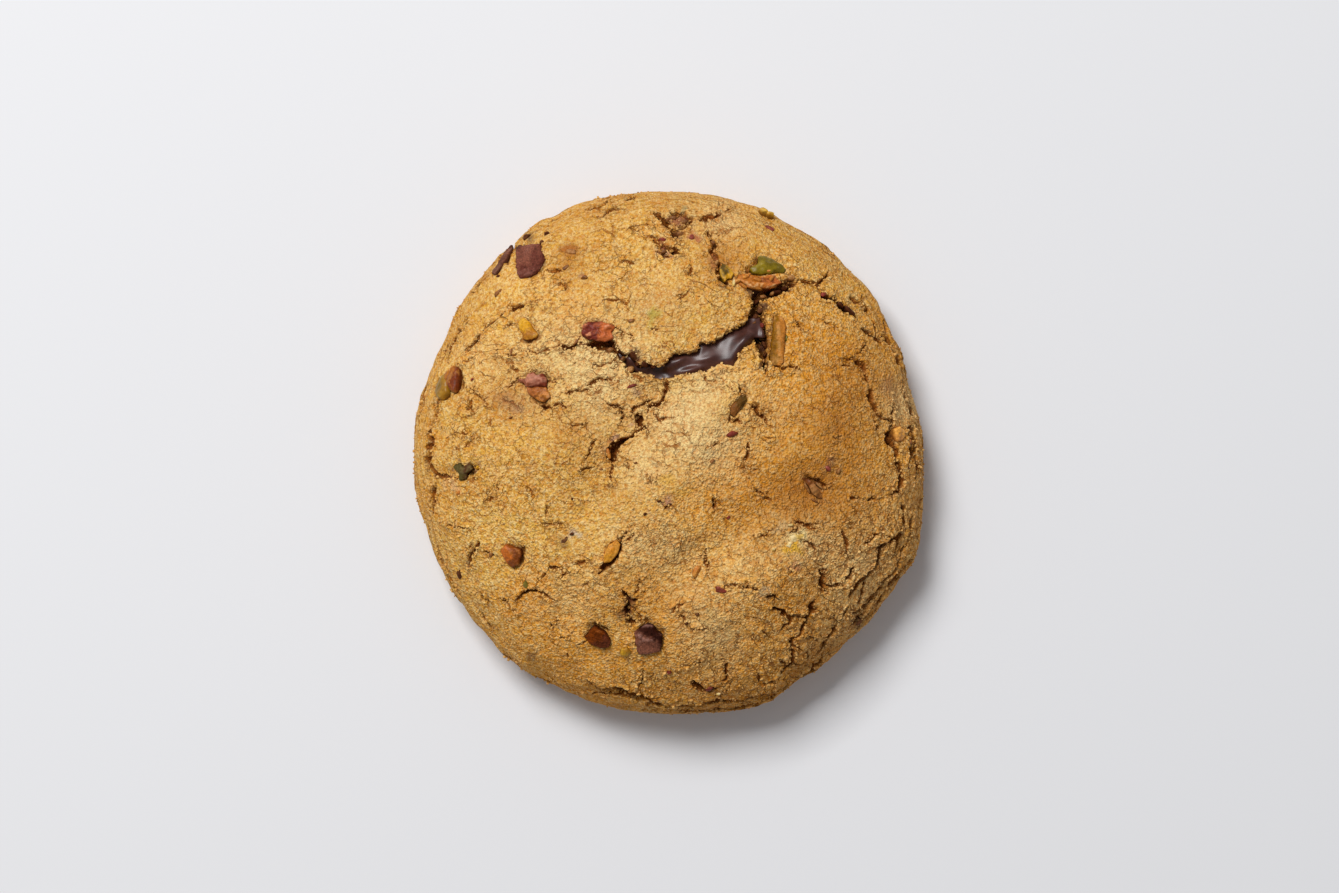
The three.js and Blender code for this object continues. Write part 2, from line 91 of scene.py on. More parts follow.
def hashed(cells: Array, salt: int) -> Array:
    """Give each whole-number lattice cell its own evenly spread number.

    Args:
        cells: Lattice cells, one row of three whole numbers each.
        salt: Whole number that picks one of many unrelated patterns.

    Returns:
        A number from 0 to 1 for each cell.
    """
    c = cells.astype(np.int64)
    mixed = (c[:, 0] * 73856093) ^ (c[:, 1] * 19349663) ^ (c[:, 2] * 83492791) ^ (salt * 2654435761)
    mixed = (mixed ^ (mixed >> 13)) * 1274126177
    return ((mixed ^ (mixed >> 16)) & 0xFFFFFF) / float(0xFFFFFF)


def noise(points: Array, size: float, salt: int) -> Array:
    """Smooth random field.

    Args:
        points: Places in millimetres.
        size: Width of one lump in millimetres.
        salt: Pattern number.

    Returns:
        A value from -1 to 1 at each place.
    """
    scaled = points / size
    base = np.floor(scaled)
    part = scaled - base
    ease = part**3 * (part * (part * 6 - 15) + 10)
    total = np.zeros(len(points))
    for corner in range(8):
        step = np.array([corner & 1, corner >> 1 & 1, corner >> 2 & 1])
        weight = np.prod(np.where(step == 1, ease, 1 - ease), axis=1)
        total += weight * hashed(base + step, salt)
    return 2 * total - 1


def fractal(points: Array, size: float, salt: int, octaves: int = 3) -> Array:
    """Sum of noises, each half as wide and half as strong as the one before."""
    total = np.zeros(len(points))
    for octave in range(octaves):
        total += noise(points, size / 2**octave, salt + octave) / 2**octave
    return total / 1.5


def nearest_centre(points: Array, size: float, salt: int) -> Array:
    """Distance to the nearest of scattered centres, as a share of their mean spacing, ``size``."""
    scaled = points / size
    base = np.floor(scaled)
    nearest = np.full(len(points), 9.0)
    for index in range(27):
        cell = base + [index % 3 - 1, index // 3 % 3 - 1, index // 9 - 1]
        centre = cell + np.stack([hashed(cell, salt + k) for k in range(3)], axis=1)
        nearest = np.minimum(nearest, np.linalg.norm(centre - scaled, axis=1))
    return nearest


def smooth(value: Array, low: float, high: float) -> Array:
    """Ease from 0 at low to 1 at high."""
    share = np.clip((value - low) / (high - low), 0.0, 1.0)
    return share * share * (3 - 2 * share)


def heading(degrees: float) -> Array:
    """Level direction of a turn."""
    return np.array([math.cos(math.radians(degrees)), math.sin(math.radians(degrees))])


def in_oval(x: Array, y: Array, oval: Spots) -> tuple[Array, Array]:
    """Ways along and across an oval, as shares of its half-sizes.

    Args:
        x, y: Places.
        oval: Its middle's x and y, its half-length, its half-width and its turn.

    Returns:
        The way along it, and the way across it.
    """
    cos, sin = heading(oval[4])
    x, y = x - oval[0], y - oval[1]
    return (x * cos + y * sin) / oval[2], (y * cos - x * sin) / oval[3]


def swollen(level: Array | float, x: Array, y: Array, swells: Rows) -> Array:
    """Level with soft oval swells and valleys added: each row is an oval and its rise."""
    for *oval, rise in swells:
        along, across = in_oval(x, y, oval)
        level = level + rise * np.exp(-(along**2 + across**2))
    return level


def pairs(spots: Spots) -> Array:
    """Spots of a table as rows of x and y."""
    return np.reshape(spots, (-1, 2)).astype(float)


def beyond(outline: Array, spots: Array) -> Array:
    """Distance of spots to a closed outline, negative inside it."""
    gap = np.full(len(spots), FAR)
    inside = np.zeros(len(spots), dtype=bool)
    for start, end in zip(outline, np.roll(outline, -1, axis=0)):
        side = end - start
        share = np.clip((spots - start) @ side / (side @ side), 0, 1)
        gap = np.minimum(gap, np.linalg.norm(spots - start - share[:, None] * side, axis=1))
        spans = (start[1] > spots[:, 1]) != (end[1] > spots[:, 1])
        reach = start[0] + (spots[:, 1] - start[1]) * side[0] / (side[1] if side[1] else 1e-9)
        inside ^= spans & (spots[:, 0] < reach)
    return np.where(inside, -gap, gap)


# ---- shape of the cookie ----


@dataclass(frozen=True)
class CookieForm:
    """Smooth form of the cookie, the same as the construction model's.

    The skin is laid out on a flat disc: the distance from the disc's middle is the way along
    an upright section, from the top middle to the edge of the flat base.
    """

    mean_radius: float = 49.8
    dome_top: float = 30.0
    widest_level: float = 9.0
    base_tuck: float = 4.6
    roundness: float = 2.6
    fullness: float = 0.62
    swell_fade_power: float = 6.0
    section_steps: int = 400
    # Bulges and flats of the rim: direction, spread in degrees, reach outwards.
    bumps: Rows = (
        (16, 17, -1.8), (107, 38, 1.35), (119.5, 4, 0.8), (126, 3, -0.6), (158, 14, -1.0), (198, 7, -0.4),
        (236, 20, 0.6), (268, 14, 0.7), (289, 13, 1.9), (320, 12, 0.7), (339, 8, 1.7),
    )
    # Plates and valleys of the top, as ovals and their rise.
    swells: Rows = (
        (3.6, -0.3, 19, 5.2, 52, 1.7), (-8.2, 3.4, 15, 3.8, 52, -1.3), (6, -19.5, 17, 4.2, 40, -1.5),
        (15, -28, 15, 4.8, 40, 1.4), (3, 27, 13, 8, 15, 1.2), (33, 9, 10, 9, 0, 0.9),
        (28.5, -7, 6, 5, 30, -0.9), (-27, -6, 14, 12, 60, 0.6), (-30, 10, 6, 5, 0, -0.5),
        (2, 44.5, 4, 3, 0, -1.2),
    )

    def rim_radius(self, angle: Array) -> Array:
        """Radius of the widest outline in directions given in radians."""
        degrees = np.degrees(angle)
        radius = np.full(np.shape(angle), self.mean_radius)
        for direction, spread, out in self.bumps:
            gap = np.abs((degrees - direction + 180) % 360 - 180)
            radius = radius + out * np.exp(-((gap / spread) ** 2))
        return radius

    def crust_level(self, x: Array, y: Array) -> Array:
        """Level of the top crust over places inside the outline."""
        share = np.minimum(1.0, np.hypot(x, y) / self.rim_radius(np.arctan2(y, x)))
        dome = (1 - share**self.roundness) ** self.fullness
        fade = 1 - share**self.swell_fade_power
        rise = (self.dome_top - self.widest_level) * dome
        return self.widest_level + rise + swollen(0.0, x, y, self.swells) * fade

    def crust_points(self, spots: Array) -> Array:
        """Points of the top crust over (x, y) places."""
        return np.column_stack([spots, self.crust_level(spots[:, 0], spots[:, 1])])

    def outward(self, x: float, y: float) -> Array:
        """Outward direction of the top crust at one place."""
        step = 0.4
        near = np.array([[x - step, y], [x + step, y], [x, y - step], [x, y + step]])
        level = self.crust_level(near[:, 0], near[:, 1])
        slope = np.array([(level[0] - level[1]), (level[2] - level[3]), 2 * step])
        return slope / np.linalg.norm(slope)

    def section(self) -> tuple[Array, Array, Array]:
        """Upright section of the cookie.

        Returns:
            The way along the section, the share of the rim's radius reached there, and how
            far the section has turned under the rim, in radians.
        """
        turn = np.linspace(0, math.pi / 2, self.section_steps)
        share = np.concatenate([np.sin(turn) ** (2 / self.roundness), np.ones(self.section_steps - 1)])
        under = np.concatenate([np.zeros(self.section_steps - 1), turn])
        points = self.section_points(share, under, np.zeros(len(share)))
        steps = np.linalg.norm(np.diff(points, axis=0), axis=1)
        return np.concatenate([[0.0], np.cumsum(steps)]), share, under

    def section_points(self, share: Array, under: Array, angle: Array) -> Array:
        """Points of the skin for places on the section and angles round the cookie."""
        radius = self.rim_radius(angle) * share - self.base_tuck * (1 - np.cos(under))
        x, y = radius * np.cos(angle), radius * np.sin(angle)
        side = self.widest_level * (1 - np.sin(under))
        return np.column_stack([x, y, np.where(under > 0, side, self.crust_level(x, y))])

    def skin_points(self, places: Array) -> Array:
        """Points of the skin for places on the flat disc."""
        reach, share, under = self.section()
        way = np.minimum(np.linalg.norm(places, axis=1), reach[-1])
        angle = np.arctan2(places[:, 1], places[:, 0])
        return self.section_points(np.interp(way, reach, share), np.interp(way, reach, under), angle)

    def box_middle(self) -> Array:
        """Middle of the outline's box, which the construction model puts on the origin."""
        angle = np.linspace(-math.pi, math.pi, 2881)
        radius = self.rim_radius(angle)
        x, y = radius * np.cos(angle), radius * np.sin(angle)
        return np.array([(x.min() + x.max()) / 2, (y.min() + y.max()) / 2, 0.0])


# ---- cracks ----


@dataclass(frozen=True)
class Split:
    """The wide split in the top: its lip, its depth where chocolate fills it, its depth in its
    two crumbly arms and the width of its sloping wall."""

    lip: Spots = (
        -10.2, 18.5, -8.6, 16.7, -8.1, 15.3, -6.4, 15, -4.7, 14.7, -1.5, 13.6, 4.5, 15, 9, 16.5, 12.3, 16.7,
        13.9, 19.5, 16.1, 21.3, 17, 19, 17.4, 15.8, 18.5, 15, 19, 19, 18.6, 23.6, 18.3, 26.3, 17.7, 28.8,
        20.3, 29.8, 22.9, 31.2, 25, 32.8, 22, 33.6, 20, 32.2, 16.3, 31.4, 15.3, 28, 15, 25.3, 12.9, 23.8,
        10, 22.4, 8, 21.3, 5.3, 20.8, 4.8, 19.2, -0.2, 18.4, -1.5, 16.6, -4.4, 17.3, -5.8, 16.7, -7.6, 19,
    )
    depth: float = 5.2
    arm_depth: float = 3.2
    wall: float = 0.6

    def filled(self, spots: Array) -> Array:
        """Whether chocolate fills each place: it stops short of the split's three thin ends."""
        x, y = spots.T
        right_wall = x >= 18.1 - np.maximum(0, y - 22.5) * 0.3
        near_end = (x > 16) & (y < 21.8)
        far_end = y >= 25.8
        below = y <= 5 + x * 0.7
        return ~(right_wall | near_end | far_end | below)

    def beyond(self, spots: Array) -> Array:
        """Distance to the lip, negative inside the split."""
        return beyond(pairs(self.lip), spots)


# Cracks with a fixed place: width of the mouth, how much higher the plate on the left stands,
# looking along the line, and the spots that the line passes.
CRACKS: Rows = (
    # Valley crack from the split towards the left.
    (0.5, -0.25, -0.7, 13.7, -0.6, 12, -1.3, 11.2, -1.5, 10.3, -2.6, 9.3, -3.8, 8.5, -4.1, 7.8),
    (1, -0.2, -5.3, 7.4, -5.7, 6.1, -5.2, 4.7, -5.8, 4.4), (0.5, -0.4, -5.8, 4.6, -7, 3.6, -8.2, 2.8),
    (1.1, -0.5, -8.2, 2.7, -9.5, 1.8, -10.5, 1, -10.9, 0, -10.6, -1.5),
    (0.35, -0.2, -10.8, -1.3, -10.7, -2.7, -11.1, -3.4, -11.5, -4.3, -10.9, -5.5),
    (0.45, 0.3, -12.9, 10.2, -11.5, 9.2, -10, 8.7, -9.1, 8.3), (0.55, 0, -8.9, 8.2, -8.7, 7, -8.9, 5.6),
    (0.4, 0.1, -6.9, 7.6, -6.3, 8.6, -5, 9.3, -3.8, 9.6),
    (0.3, 0, -14, 2.3, -14.8, 1.5, -15.2, -0.4, -15.8, -1.2),
    (0.3, 0.1, -17, -3.6, -15.5, -2.8, -14.4, -2.6),
    # Gap left of the far sliver.
    (0.6, 0.1, 9.3, 37, 9.4, 35.8, 9.6, 34.6, 10.2, 33.2, 11, 32.2),
    # Right of the split.
    (0.6, 0.2, 14.6, 9, 16, 8.5, 17, 7.4, 17.6, 6.9, 18, 5.9), (0.7, 0, 13.3, 12.2, 13.8, 11.2),
    (0.35, 0.1, 11.2, 7, 11.8, 6, 12.9, 6, 14, 5.2, 15.6, 6.1),
    (0.35, 0.1, 20, 16.2, 21.5, 15.9, 23, 16.2, 24.4, 16),
    (0.7, -0.3, 24.4, 33, 26.5, 32.7, 28, 32.5, 28.5, 32, 28.7, 30.8),
    (1.2, -0.6, 28.7, 30.8, 29.2, 30.1, 30, 29.9, 31.5, 29.5, 33, 28, 34.5, 27.3, 35.5, 26.5),
    (0.9, -0.5, 35.5, 26.5, 36.5, 25.3, 37, 24, 38, 23.3, 39.7, 22.2, 41, 21.3),
    (0.45, 0, 30.4, 34.8, 29.5, 33.5, 28.7, 32.4),
    (0.35, 0.1, 33.3, 18, 35.2, 18, 36.3, 19, 37.3, 20, 38, 21),
    (0.6, 0.3, 35.3, 18, 36, 17.3, 37, 16.8, 37.8, 15.5, 38, 14, 38.2, 13),
    (0.5, 0.4, 38.2, 13, 38.7, 11.8, 38.8, 10.3, 39.5, 9, 40, 7.5, 41, 6.7, 42.5, 6.3),
    (1, 0.2, 38.4, 11, 38.8, 10.2), (0.4, 0, 39.3, 6, 39.6, 5, 40.1, 4),
    (0.45, 0.1, 42.9, 9.4, 42.7, 7.6, 42.9, 6, 42.3, 4.6),
    (1, 0.4, 42.5, 4.4, 41.9, 2.7, 43, 2, 43.6, 0.7, 43.3, -1),
    (0.9, 0.5, 43.3, -1, 44, -2.2, 44.5, -3.6, 44.6, -5.5, 44.2, -7.2),
    (0.4, 0.2, 44.2, -7.2, 43.2, -7.3, 42.5, -7.9, 42.8, -8.9),
    (0.7, 0.4, 44.8, -9.5, 45, -11, 45.2, -13, 45.6, -15.2), (0.35, 0.1, 34.5, -8.3, 35.4, -8.5, 36.5, -8.4),
    (0.6, 0.1, 38.2, -8.7, 39.4, -8.8),
    (0.4, 0.1, 23.6, -13, 24.3, -13.3, 25.6, -13.6, 27.2, -13.3, 28.6, -13),
    (0.4, -0.3, 37.3, -17.7, 38.7, -17, 40.1, -15.8),
    (0.4, 0.3, 32.6, -14.9, 33.5, -16.1, 33.9, -17.9, 33.7, -19.3, 34.4, -20.6),
    (0.6, 0.3, 35.2, -22.2, 34.9, -23.2, 34, -24.3),
    (0.9, -0.6, 44.6, -15.8, 43.3, -16.5, 41.2, -17.7, 40.3, -18.6, 40.3, -21.1, 39.9, -22.6),
    (0.8, -0.6, 39.9, -22.6, 38, -23.6, 36.6, -25, 35.5, -25.9, 34.4, -27.5),
    (0.7, 0.3, 34.8, -33.6, 35.8, -32.2, 37.4, -31.5), (0.35, 0.2, 30.6, -31.9, 31.4, -31.5, 32.3, -32.2),
    (0.35, 0, 31.6, -31.8, 31.2, -33.6),
    # Near right: a crumbled net of cracks.
    (0.35, 0.2, 22.8, -15.4, 24.1, -14.5, 25.1, -15.5, 25.3, -17.2, 27.3, -17.6, 27.6, -18.6),
    (0.65, 0.3, 28.9, -22.2, 29.1, -23.6, 29, -25.5, 29.9, -26.6),
    (0.3, 0.1, 29.4, -25, 31.2, -25.2, 33.3, -25.4),
    (0.75, 0.3, 27.1, -28.2, 26.6, -29, 27.1, -30, 26.1, -31.4, 25.6, -33.2, 24.4, -34.9),
    (0.6, 0.3, 24.4, -34.9, 23.2, -35.4, 23.2, -36.8, 23.5, -38.6, 23.2, -40.2),
    (0.7, 0.3, 19.2, -29.2, 20.2, -29.6, 21.4, -30, 22.4, -30.9),
    (0.35, 0.3, 22.4, -30.9, 24, -30.9, 26, -31.2), (0.45, 0.2, 22.4, -31, 22.6, -32.2, 21.4, -33.4),
    (0.4, 0.2, 26, -34.9, 27.3, -35.4, 28.2, -36),
    (0.4, 0.4, 21.1, -39.3, 21.9, -40.2, 25.5, -40.4, 26.4, -39, 26.2, -38),
    (0.45, 0.3, 16.6, -42.1, 17.3, -43.6, 18.7, -44.1, 20.1, -43.8),
    (0.35, 0.2, 10.5, -25.2, 12, -25, 13.5, -25.1, 14.8, -25.4), (0.65, 0.2, 14.8, -25.3, 16.5, -25.6),
    (0.5, 0.2, 18.5, -27.2, 19.5, -27, 20.4, -27.5), (0.45, 0.1, 26.2, -5, 27.6, -5.1, 29, -6, 29.6, -6.4),
    (0.4, 0.2, 7, -18.2, 6.7, -19.2, 7, -20.4, 7.2, -21.8), (0.6, 0.1, 8.1, -8.6, 8.5, -9.3, 8.3, -10.5),
    (0.4, 0.1, 14.8, 1.4, 14.7, -0.5, 14.1, -1.5),
    # Ledge along the near rim, where the plate of the top overhangs the foot.
    (0.7, 0.9, -16, -43.6, -14.6, -44.6, -13, -45.4, -10.5, -45.3),
    (1.3, 0.9, -10.5, -45.1, -9, -46, -7, -46.6, -4, -47.4),
    (0.9, 0.8, -4, -47.4, -3.5, -48, 0, -48.6, 3, -48.8, 6, -48.6, 7.5, -48),
    (0.8, 0.7, 7.5, -48, 10, -47.8, 13, -48, 15, -47.6, 18, -46.6, 20.5, -45.9),
    (0.6, 0.5, 20.5, -45.9, 24, -44.2, 27.5, -42),
    (0.8, 0.3, 4.4, -44.2, 5.4, -45.2, 7, -45.8, 8.3, -45.2, 8.8, -45.7),
    (0.45, 0.2, 10.9, -40.6, 10.7, -41.5, 11, -43, 10, -44.2), (0.35, 0, -5, -42, -5.6, -43.4, -6, -45),
    (0.3, 0.2, -20, -38.4, -19.4, -39.4),
    # Near left.
    (0.45, 0.2, -38.6, -21.8, -38.5, -20, -37.6, -19.2, -36.3, -17.2),
    (0.35, 0, -38.4, -19.6, -38.2, -17.4), (0.5, 0.1, -35, -19.2, -33.6, -19.4),
    (0.5, 0.5, -29.4, -28, -28.4, -27, -27, -26.3, -25.4, -26.2, -24, -26.6),
    (0.35, 0.1, -24.6, -24, -23.8, -22.6, -22.4, -21.8, -20.6, -21.8),
    (0.4, 0.1, -20.6, -23.6, -19.7, -23, -18.5, -22.2), (0.35, -0.3, -7.9, -14.6, -8.6, -15.6, -9.9, -16.6),
    (0.8, -0.3, -9.7, -17, -10, -18.6, -10.3, -20, -11.8, -21, -13.4, -22.8),
    (0.7, 0.2, -8.8, -26.4, -8.2, -27.4, -7.6, -28.2, -6.4, -27.8),
    (1, 0.2, -7.7, -28.6, -8, -30, -7.6, -31.5, -7.1, -32.7),
    (0.6, 0.2, -36.1, -31.3, -35.3, -33, -34.7, -34), (0.4, 0, -22.8, -32.3, -22.5, -34.2),
    (0.3, 0.1, -33.6, -5.6, -33, -6.3, -32.7, -7.2), (0.35, 0.1, -23.4, -10, -23.2, -10.8, -23.5, -12),
    # Left and far.
    (1.1, -0.6, -39.3, 19.6, -38.4, 20.6, -37.4, 21.6, -36.6, 22.5),
    (0.5, -0.6, -36.6, 22.5, -35.4, 23.8, -33.6, 25.2, -31.4, 27),
    (1, -0.4, -30.4, 28.2, -29.4, 27.7, -28, 28), (0.4, -0.4, -28, 28, -26.8, 28.4, -25.2, 29),
    (0.6, -0.2, -44.8, 8.8, -45.2, 7.2, -45.6, 5.8), (0.6, -0.5, -46.4, 4.2, -45.8, 2, -46.4, 0.8, -46.4, -2),
    (0.6, -0.5, -46.4, -2, -45, -4.3, -42.6, -4.6), (0.5, -0.4, -45.4, -6.6, -45.8, -9.5, -45.7, -11.4),
    (0.3, 0.1, -42.6, -14, -40.6, -14.2, -39, -14.6), (0.3, 0.1, -35.4, -9, -33, -8.6, -32.4, -9.2),
    (0.45, 0.2, -36.4, -27.2, -36, -28.6, -34.8, -28.4), (0.5, 0.2, -32, -27.8, -30.8, -29.4, -29.6, -30.4),
    (0.3, 0.1, -38, 12, -37.5, 11.3, -36.5, 10.7, -35.4, 9.5), (0.3, 0, -39, 1.2, -38, 2.2, -37, 3.3),
    (0.4, 0.1, -30.9, 12.4, -30, 12.9, -28.9, 13.9), (0.8, 0.3, -24.2, 8.9, -23.4, 8.5, -22.4, 8.7),
    (0.45, 0.2, -22.4, 8.8, -21, 9.3, -19.6, 8.6),
    (0.5, 0.4, -16.6, 20.8, -18.4, 20.4, -19.2, 19.4, -20.8, 20.3),
    (1.3, 0.2, -15.4, 20.8, -13.8, 20.6, -12, 20.4, -10.9, 20.7), (0.9, 0.3, -19.1, 19.5, -20.4, 20.1),
    (0.3, 0.3, -20.8, 20.3, -22.6, 19.6, -25.4, 19, -27.6, 19.6, -30, 18.6, -33, 19),
    (0.3, 0.1, -12.2, 29, -10.5, 28.9, -8, 28), (0.35, 0.1, -19.5, 11.5, -18, 11.8, -15.3, 12),
    (0.4, 0.1, -15.4, 12.8, -14, 13.8, -12, 14.2, -10.6, 13.7),
    (0.3, 0.1, -14.8, 17.2, -13, 16.4, -11.4, 16.8, -10, 17.9),
    (0.35, 0.1, -7.8, 43, -6.8, 43.5, -5.5, 43.9, -3.6, 43.8), (0.35, 0.1, -9.6, 36.7, -8.2, 37, -7, 36.7),
    (0.6, 0.1, 7.4, 42.6, 8, 41.2, 8.5, 39.6, 8.2, 38.4, 9.4, 37),
    (0.7, 0.1, 5.6, 45.1, 7, 45, 8.5, 45.3, 10, 46.2), (1.2, 0.1, -2.8, 46.2, -1.8, 45.4, -1.2, 44.8),
    (1, 0.1, -1.2, 44.8, -0.6, 44.2, -0.1, 43.6), (1.3, 0, 0.6, 42.9, 1.1, 42.2, 1.2, 41.4),
    (0.5, 0, -0.1, 43.6, 0.6, 42.9), (0.8, 0, 0.2, 46.2, 1.6, 45.8, 2.8, 46, 3.6, 45.4, 3.8, 44.4),
    (0.6, 0, 3.8, 44.4, 3.2, 43.6, 1.8, 43.4), (1.2, 0, 0.2, 39.2, 0.9, 38.7, 1.6, 38.3),
    (0.5, 0, -3.2, 40.6, -1.8, 39.4, -0.6, 39.2, 0.2, 39.2), (0.5, 0, -2.4, 38.4, -1, 37.6, 0, 37.4),
    (0.35, 0, 3.4, 36, 4, 34.9, 4.2, 33.9), (0.35, 0, -3.5, 23.6, -2.3, 23.3),
    (0.9, 0, -11.2, 20.1, -9.9, 19.3, -8.8, 18), (0.45, 0, 24.2, 24.8, 24.8, 23.6, 25.2, 23),
)


@dataclass
class CrackLines:
    """Every crack of the crust, as lines in space with their width, depth and step.

    Besides the placed cracks there are short loose ones, which the baked crust has everywhere:
    over the top, where most lie across it, and along the side, with more of them on the side
    that faces right and near.
    """

    form: CookieForm
    lines: list[Line] = field(default_factory=list)
    reach: float = 5.0
    seed: int = 7
    # Loose cracks: counts, and the least and greatest way up the section, length and width.
    top_count: int = 70
    top_reach: float = 45.0
    top_length: Spots = (1.2, 3.6)
    top_width: Spots = (0.15, 0.4)
    side_count: int = 46
    side_way: Spots = (3.0, 19.0)
    side_length: Spots = (3.0, 9.0)
    side_width: Spots = (0.3, 0.8)
    # The side with more of them: count, directions in radians and ways up the section.
    sheltered_count: int = 30
    sheltered: Spots = (-1.9, 0.6)
    sheltered_way: Spots = (13.0, 20.0)
    # Mean and spread of the cracklets' turn, how far they bend, and how far the side's waver.
    top_turn: Spots = (0.15, 0.55)
    bend: float = 0.5
    waver: float = 0.55

    def __post_init__(self) -> None:
        """Gather the placed cracks, then the loose ones of the top and of the side."""
        for width, step, *spots in CRACKS:
            self.lines.append((self.form.crust_points(pairs(spots)), width, 2.2 * width - 0.1, step))
        rng = np.random.default_rng(self.seed)
        self.lines += [self._on_top(rng) for _ in range(self.top_count)]
        for number in range(self.side_count + self.sheltered_count):
            self.lines.append(self._on_side(rng, number >= self.side_count))

    def _on_top(self, rng: np.random.Generator) -> Line:
        """Cracklet of the top: its points, width, depth and step."""
        radius = self.top_reach * math.sqrt(rng.random())
        angle = rng.random() * math.tau
        turn = rng.normal(*self.top_turn)
        length = rng.uniform(*self.top_length)
        spots = [np.array([radius * math.cos(angle), radius * math.sin(angle)])]
        for _ in range(3):
            turn += rng.normal(0, self.bend)
            spots.append(spots[-1] + length / 3 * np.array([math.cos(turn), math.sin(turn)]))
        width = rng.uniform(*self.top_width)
        return self.form.crust_points(np.array(spots)), width, width * 1.2, 0.0

    def _on_side(self, rng: np.random.Generator, sheltered: bool) -> Line:
        """Fissure of the side, along the rim: its points, width, depth and step."""
        angle = rng.uniform(*self.sheltered) if sheltered else rng.random() * math.tau
        way = self.form.section()[0][-1] - rng.uniform(*(self.sheltered_way if sheltered else self.side_way))
        length = rng.uniform(*self.side_length)
        places = []
        for _ in range(5):
            places.append([way * math.cos(angle), way * math.sin(angle)])
            angle += length / 4 / self.form.mean_radius
            way += rng.normal(0, self.waver)
        width = rng.uniform(*self.side_width)
        return self.form.skin_points(np.array(places)), width, width * 1.8, 0.0

    def near(self, points: Array, outward: Array, uneven: Array) -> dict[str, Array]:
        """Find what the cracks do at each point.

        Args:
            points: Places on the smooth skin.
            outward: Outward directions there.
            uneven: Share by which a crack is wider or narrower there.

        Returns:
            Under "carve" the depth, under "edge" the distance beyond the mouth, under "across"
            the distance to the line, signed by side, under "mouth" half the mouth's width, and
            under "step" the rise of the plate.
        """
        carve, mouth, step = np.zeros((3, len(points)))
        across = np.full(len(points), 9.0)
        edge = np.full(len(points), 99.0)
        for line, width, depth, rise in self.lines:
            middle = (line.min(axis=0) + line.max(axis=0)) / 2
            size = np.linalg.norm(line - middle, axis=1).max()
            picked = np.flatnonzero(np.sum((points - middle) ** 2, axis=1) < (size + self.reach) ** 2)
            if len(picked) == 0:
                continue
            gap, side, along, past = self._to_line(points[picked], outward[picked], line)
            ends = np.clip(0.55 + 1.6 * np.minimum(along, 1 - along) * np.sqrt(len(line)), 0.55, 1.0)
            half = 0.5 * (1.25 * width + 0.12) * ends * (1 + 0.5 * uneven[picked])
            short = np.exp(-((past / (0.3 + half)) ** 2))
            deep = 1.1 * depth * (0.35 + 0.65 * ends) * short * (1 - smooth(gap, half * 0.2, half + 0.16))
            carve[picked] = np.maximum(carve[picked], deep)
            nearer = gap - half < edge[picked]
            chosen = picked[nearer]
            edge[chosen] = (gap - half)[nearer]
            across[chosen] = (side * gap)[nearer]
            mouth[chosen] = (half * short * (1 - smooth(gap, 0.8, 1.2)))[nearer]
            if rise:
                lift = rise * 0.5 * side * (np.exp(-gap / 2.6) * np.exp(-((past / 1.5) ** 2)) * ends)
                step[picked] = np.where(np.abs(lift) > np.abs(step[picked]), lift, step[picked])
        return {"carve": carve, "edge": edge, "across": across, "mouth": mouth, "step": step}

    @staticmethod
    def _to_line(points: Array, outward: Array, line: Array) -> tuple[Array, ...]:
        """Distance to a line, side of it, share of the way along it and overshoot past its ends."""
        lengths = np.linalg.norm(np.diff(line, axis=0), axis=1)
        reached = np.concatenate([[0.0], np.cumsum(lengths)])
        gap = np.full(len(points), FAR)
        side = np.ones(len(points))
        along, past = np.zeros((2, len(points)))
        for index, (start, end) in enumerate(zip(line[:-1], line[1:])):
            way = (end - start) / lengths[index]
            from_start = points - start
            raw = from_start @ way
            share = np.clip(raw, 0, lengths[index])
            offset = from_start - share[:, None] * way
            distance = np.linalg.norm(offset, axis=1)
            closer = distance < gap
            left = np.einsum("ij,ij->i", np.cross(np.broadcast_to(way, offset.shape), offset), outward)
            over = np.zeros(len(points))
            if index == 0:
                over = np.maximum(over, -raw)
            if index == len(lengths) - 1:
                over = np.maximum(over, raw - lengths[index])
            gap, side, along, past = (np.where(closer, new, old) for new, old in (
                (distance, gap), (np.sign(left), side), ((reached[index] + share) / reached[-1], along),
                (over, past)))
        return gap, side, along, past


# ---- pieces set into the crust ----


@dataclass(frozen=True)
class Tones:
    """Colours of a broken piece: two faces, painted highlight for its ridges and painted shade for its
    furrows and sunken edge.
    """

    first: str
    second: str
    light: str
    edge: str

    def paint(self, local: Array, depth: Array, lean: float, seed: int, streaks: float = 0.6) -> Array:
        """Colour each corner of a piece.

        Args:
            local: Corners in the piece's own frame.
            depth: How deep in the crust each corner is, from 0 to 1; deeper corners are painted darker as
                shade.
            lean: Direction in radians in which the first face turns to the second.
            seed: Pattern number.
            streaks: How strongly streaks of painted highlight and painted shade run along the piece.

        Returns:
            Linear colours.
        """
        first, second, light, edge = (np.array(linear(tone)) for tone in dataclasses.astuple(self))
        way = local[:, 0] * math.cos(lean) + local[:, 1] * math.sin(lean)
        way = way / (np.ptp(way) / 2) + 0.6 * fractal(local, 1.3, seed, 3)
        colour = first + smooth(way, -0.35, 0.35)[:, None] * (second - first)
        streak = noise(local * [0.4, 0.9, 0.9], 0.9, seed + 1) + 0.4 * noise(local, 0.4, seed + 6)
        # Light streaks are a painted highlight, dark streaks and deep corners painted shade.
        for share, layer in ((streaks * smooth(streak, 0.1, 0.8), light),
                             (0.7 * streaks * smooth(-streak, 0.1, 0.8), edge), (0.9 * depth, edge)):
            colour = colour + share[:, None] * (layer - colour)
        return colour


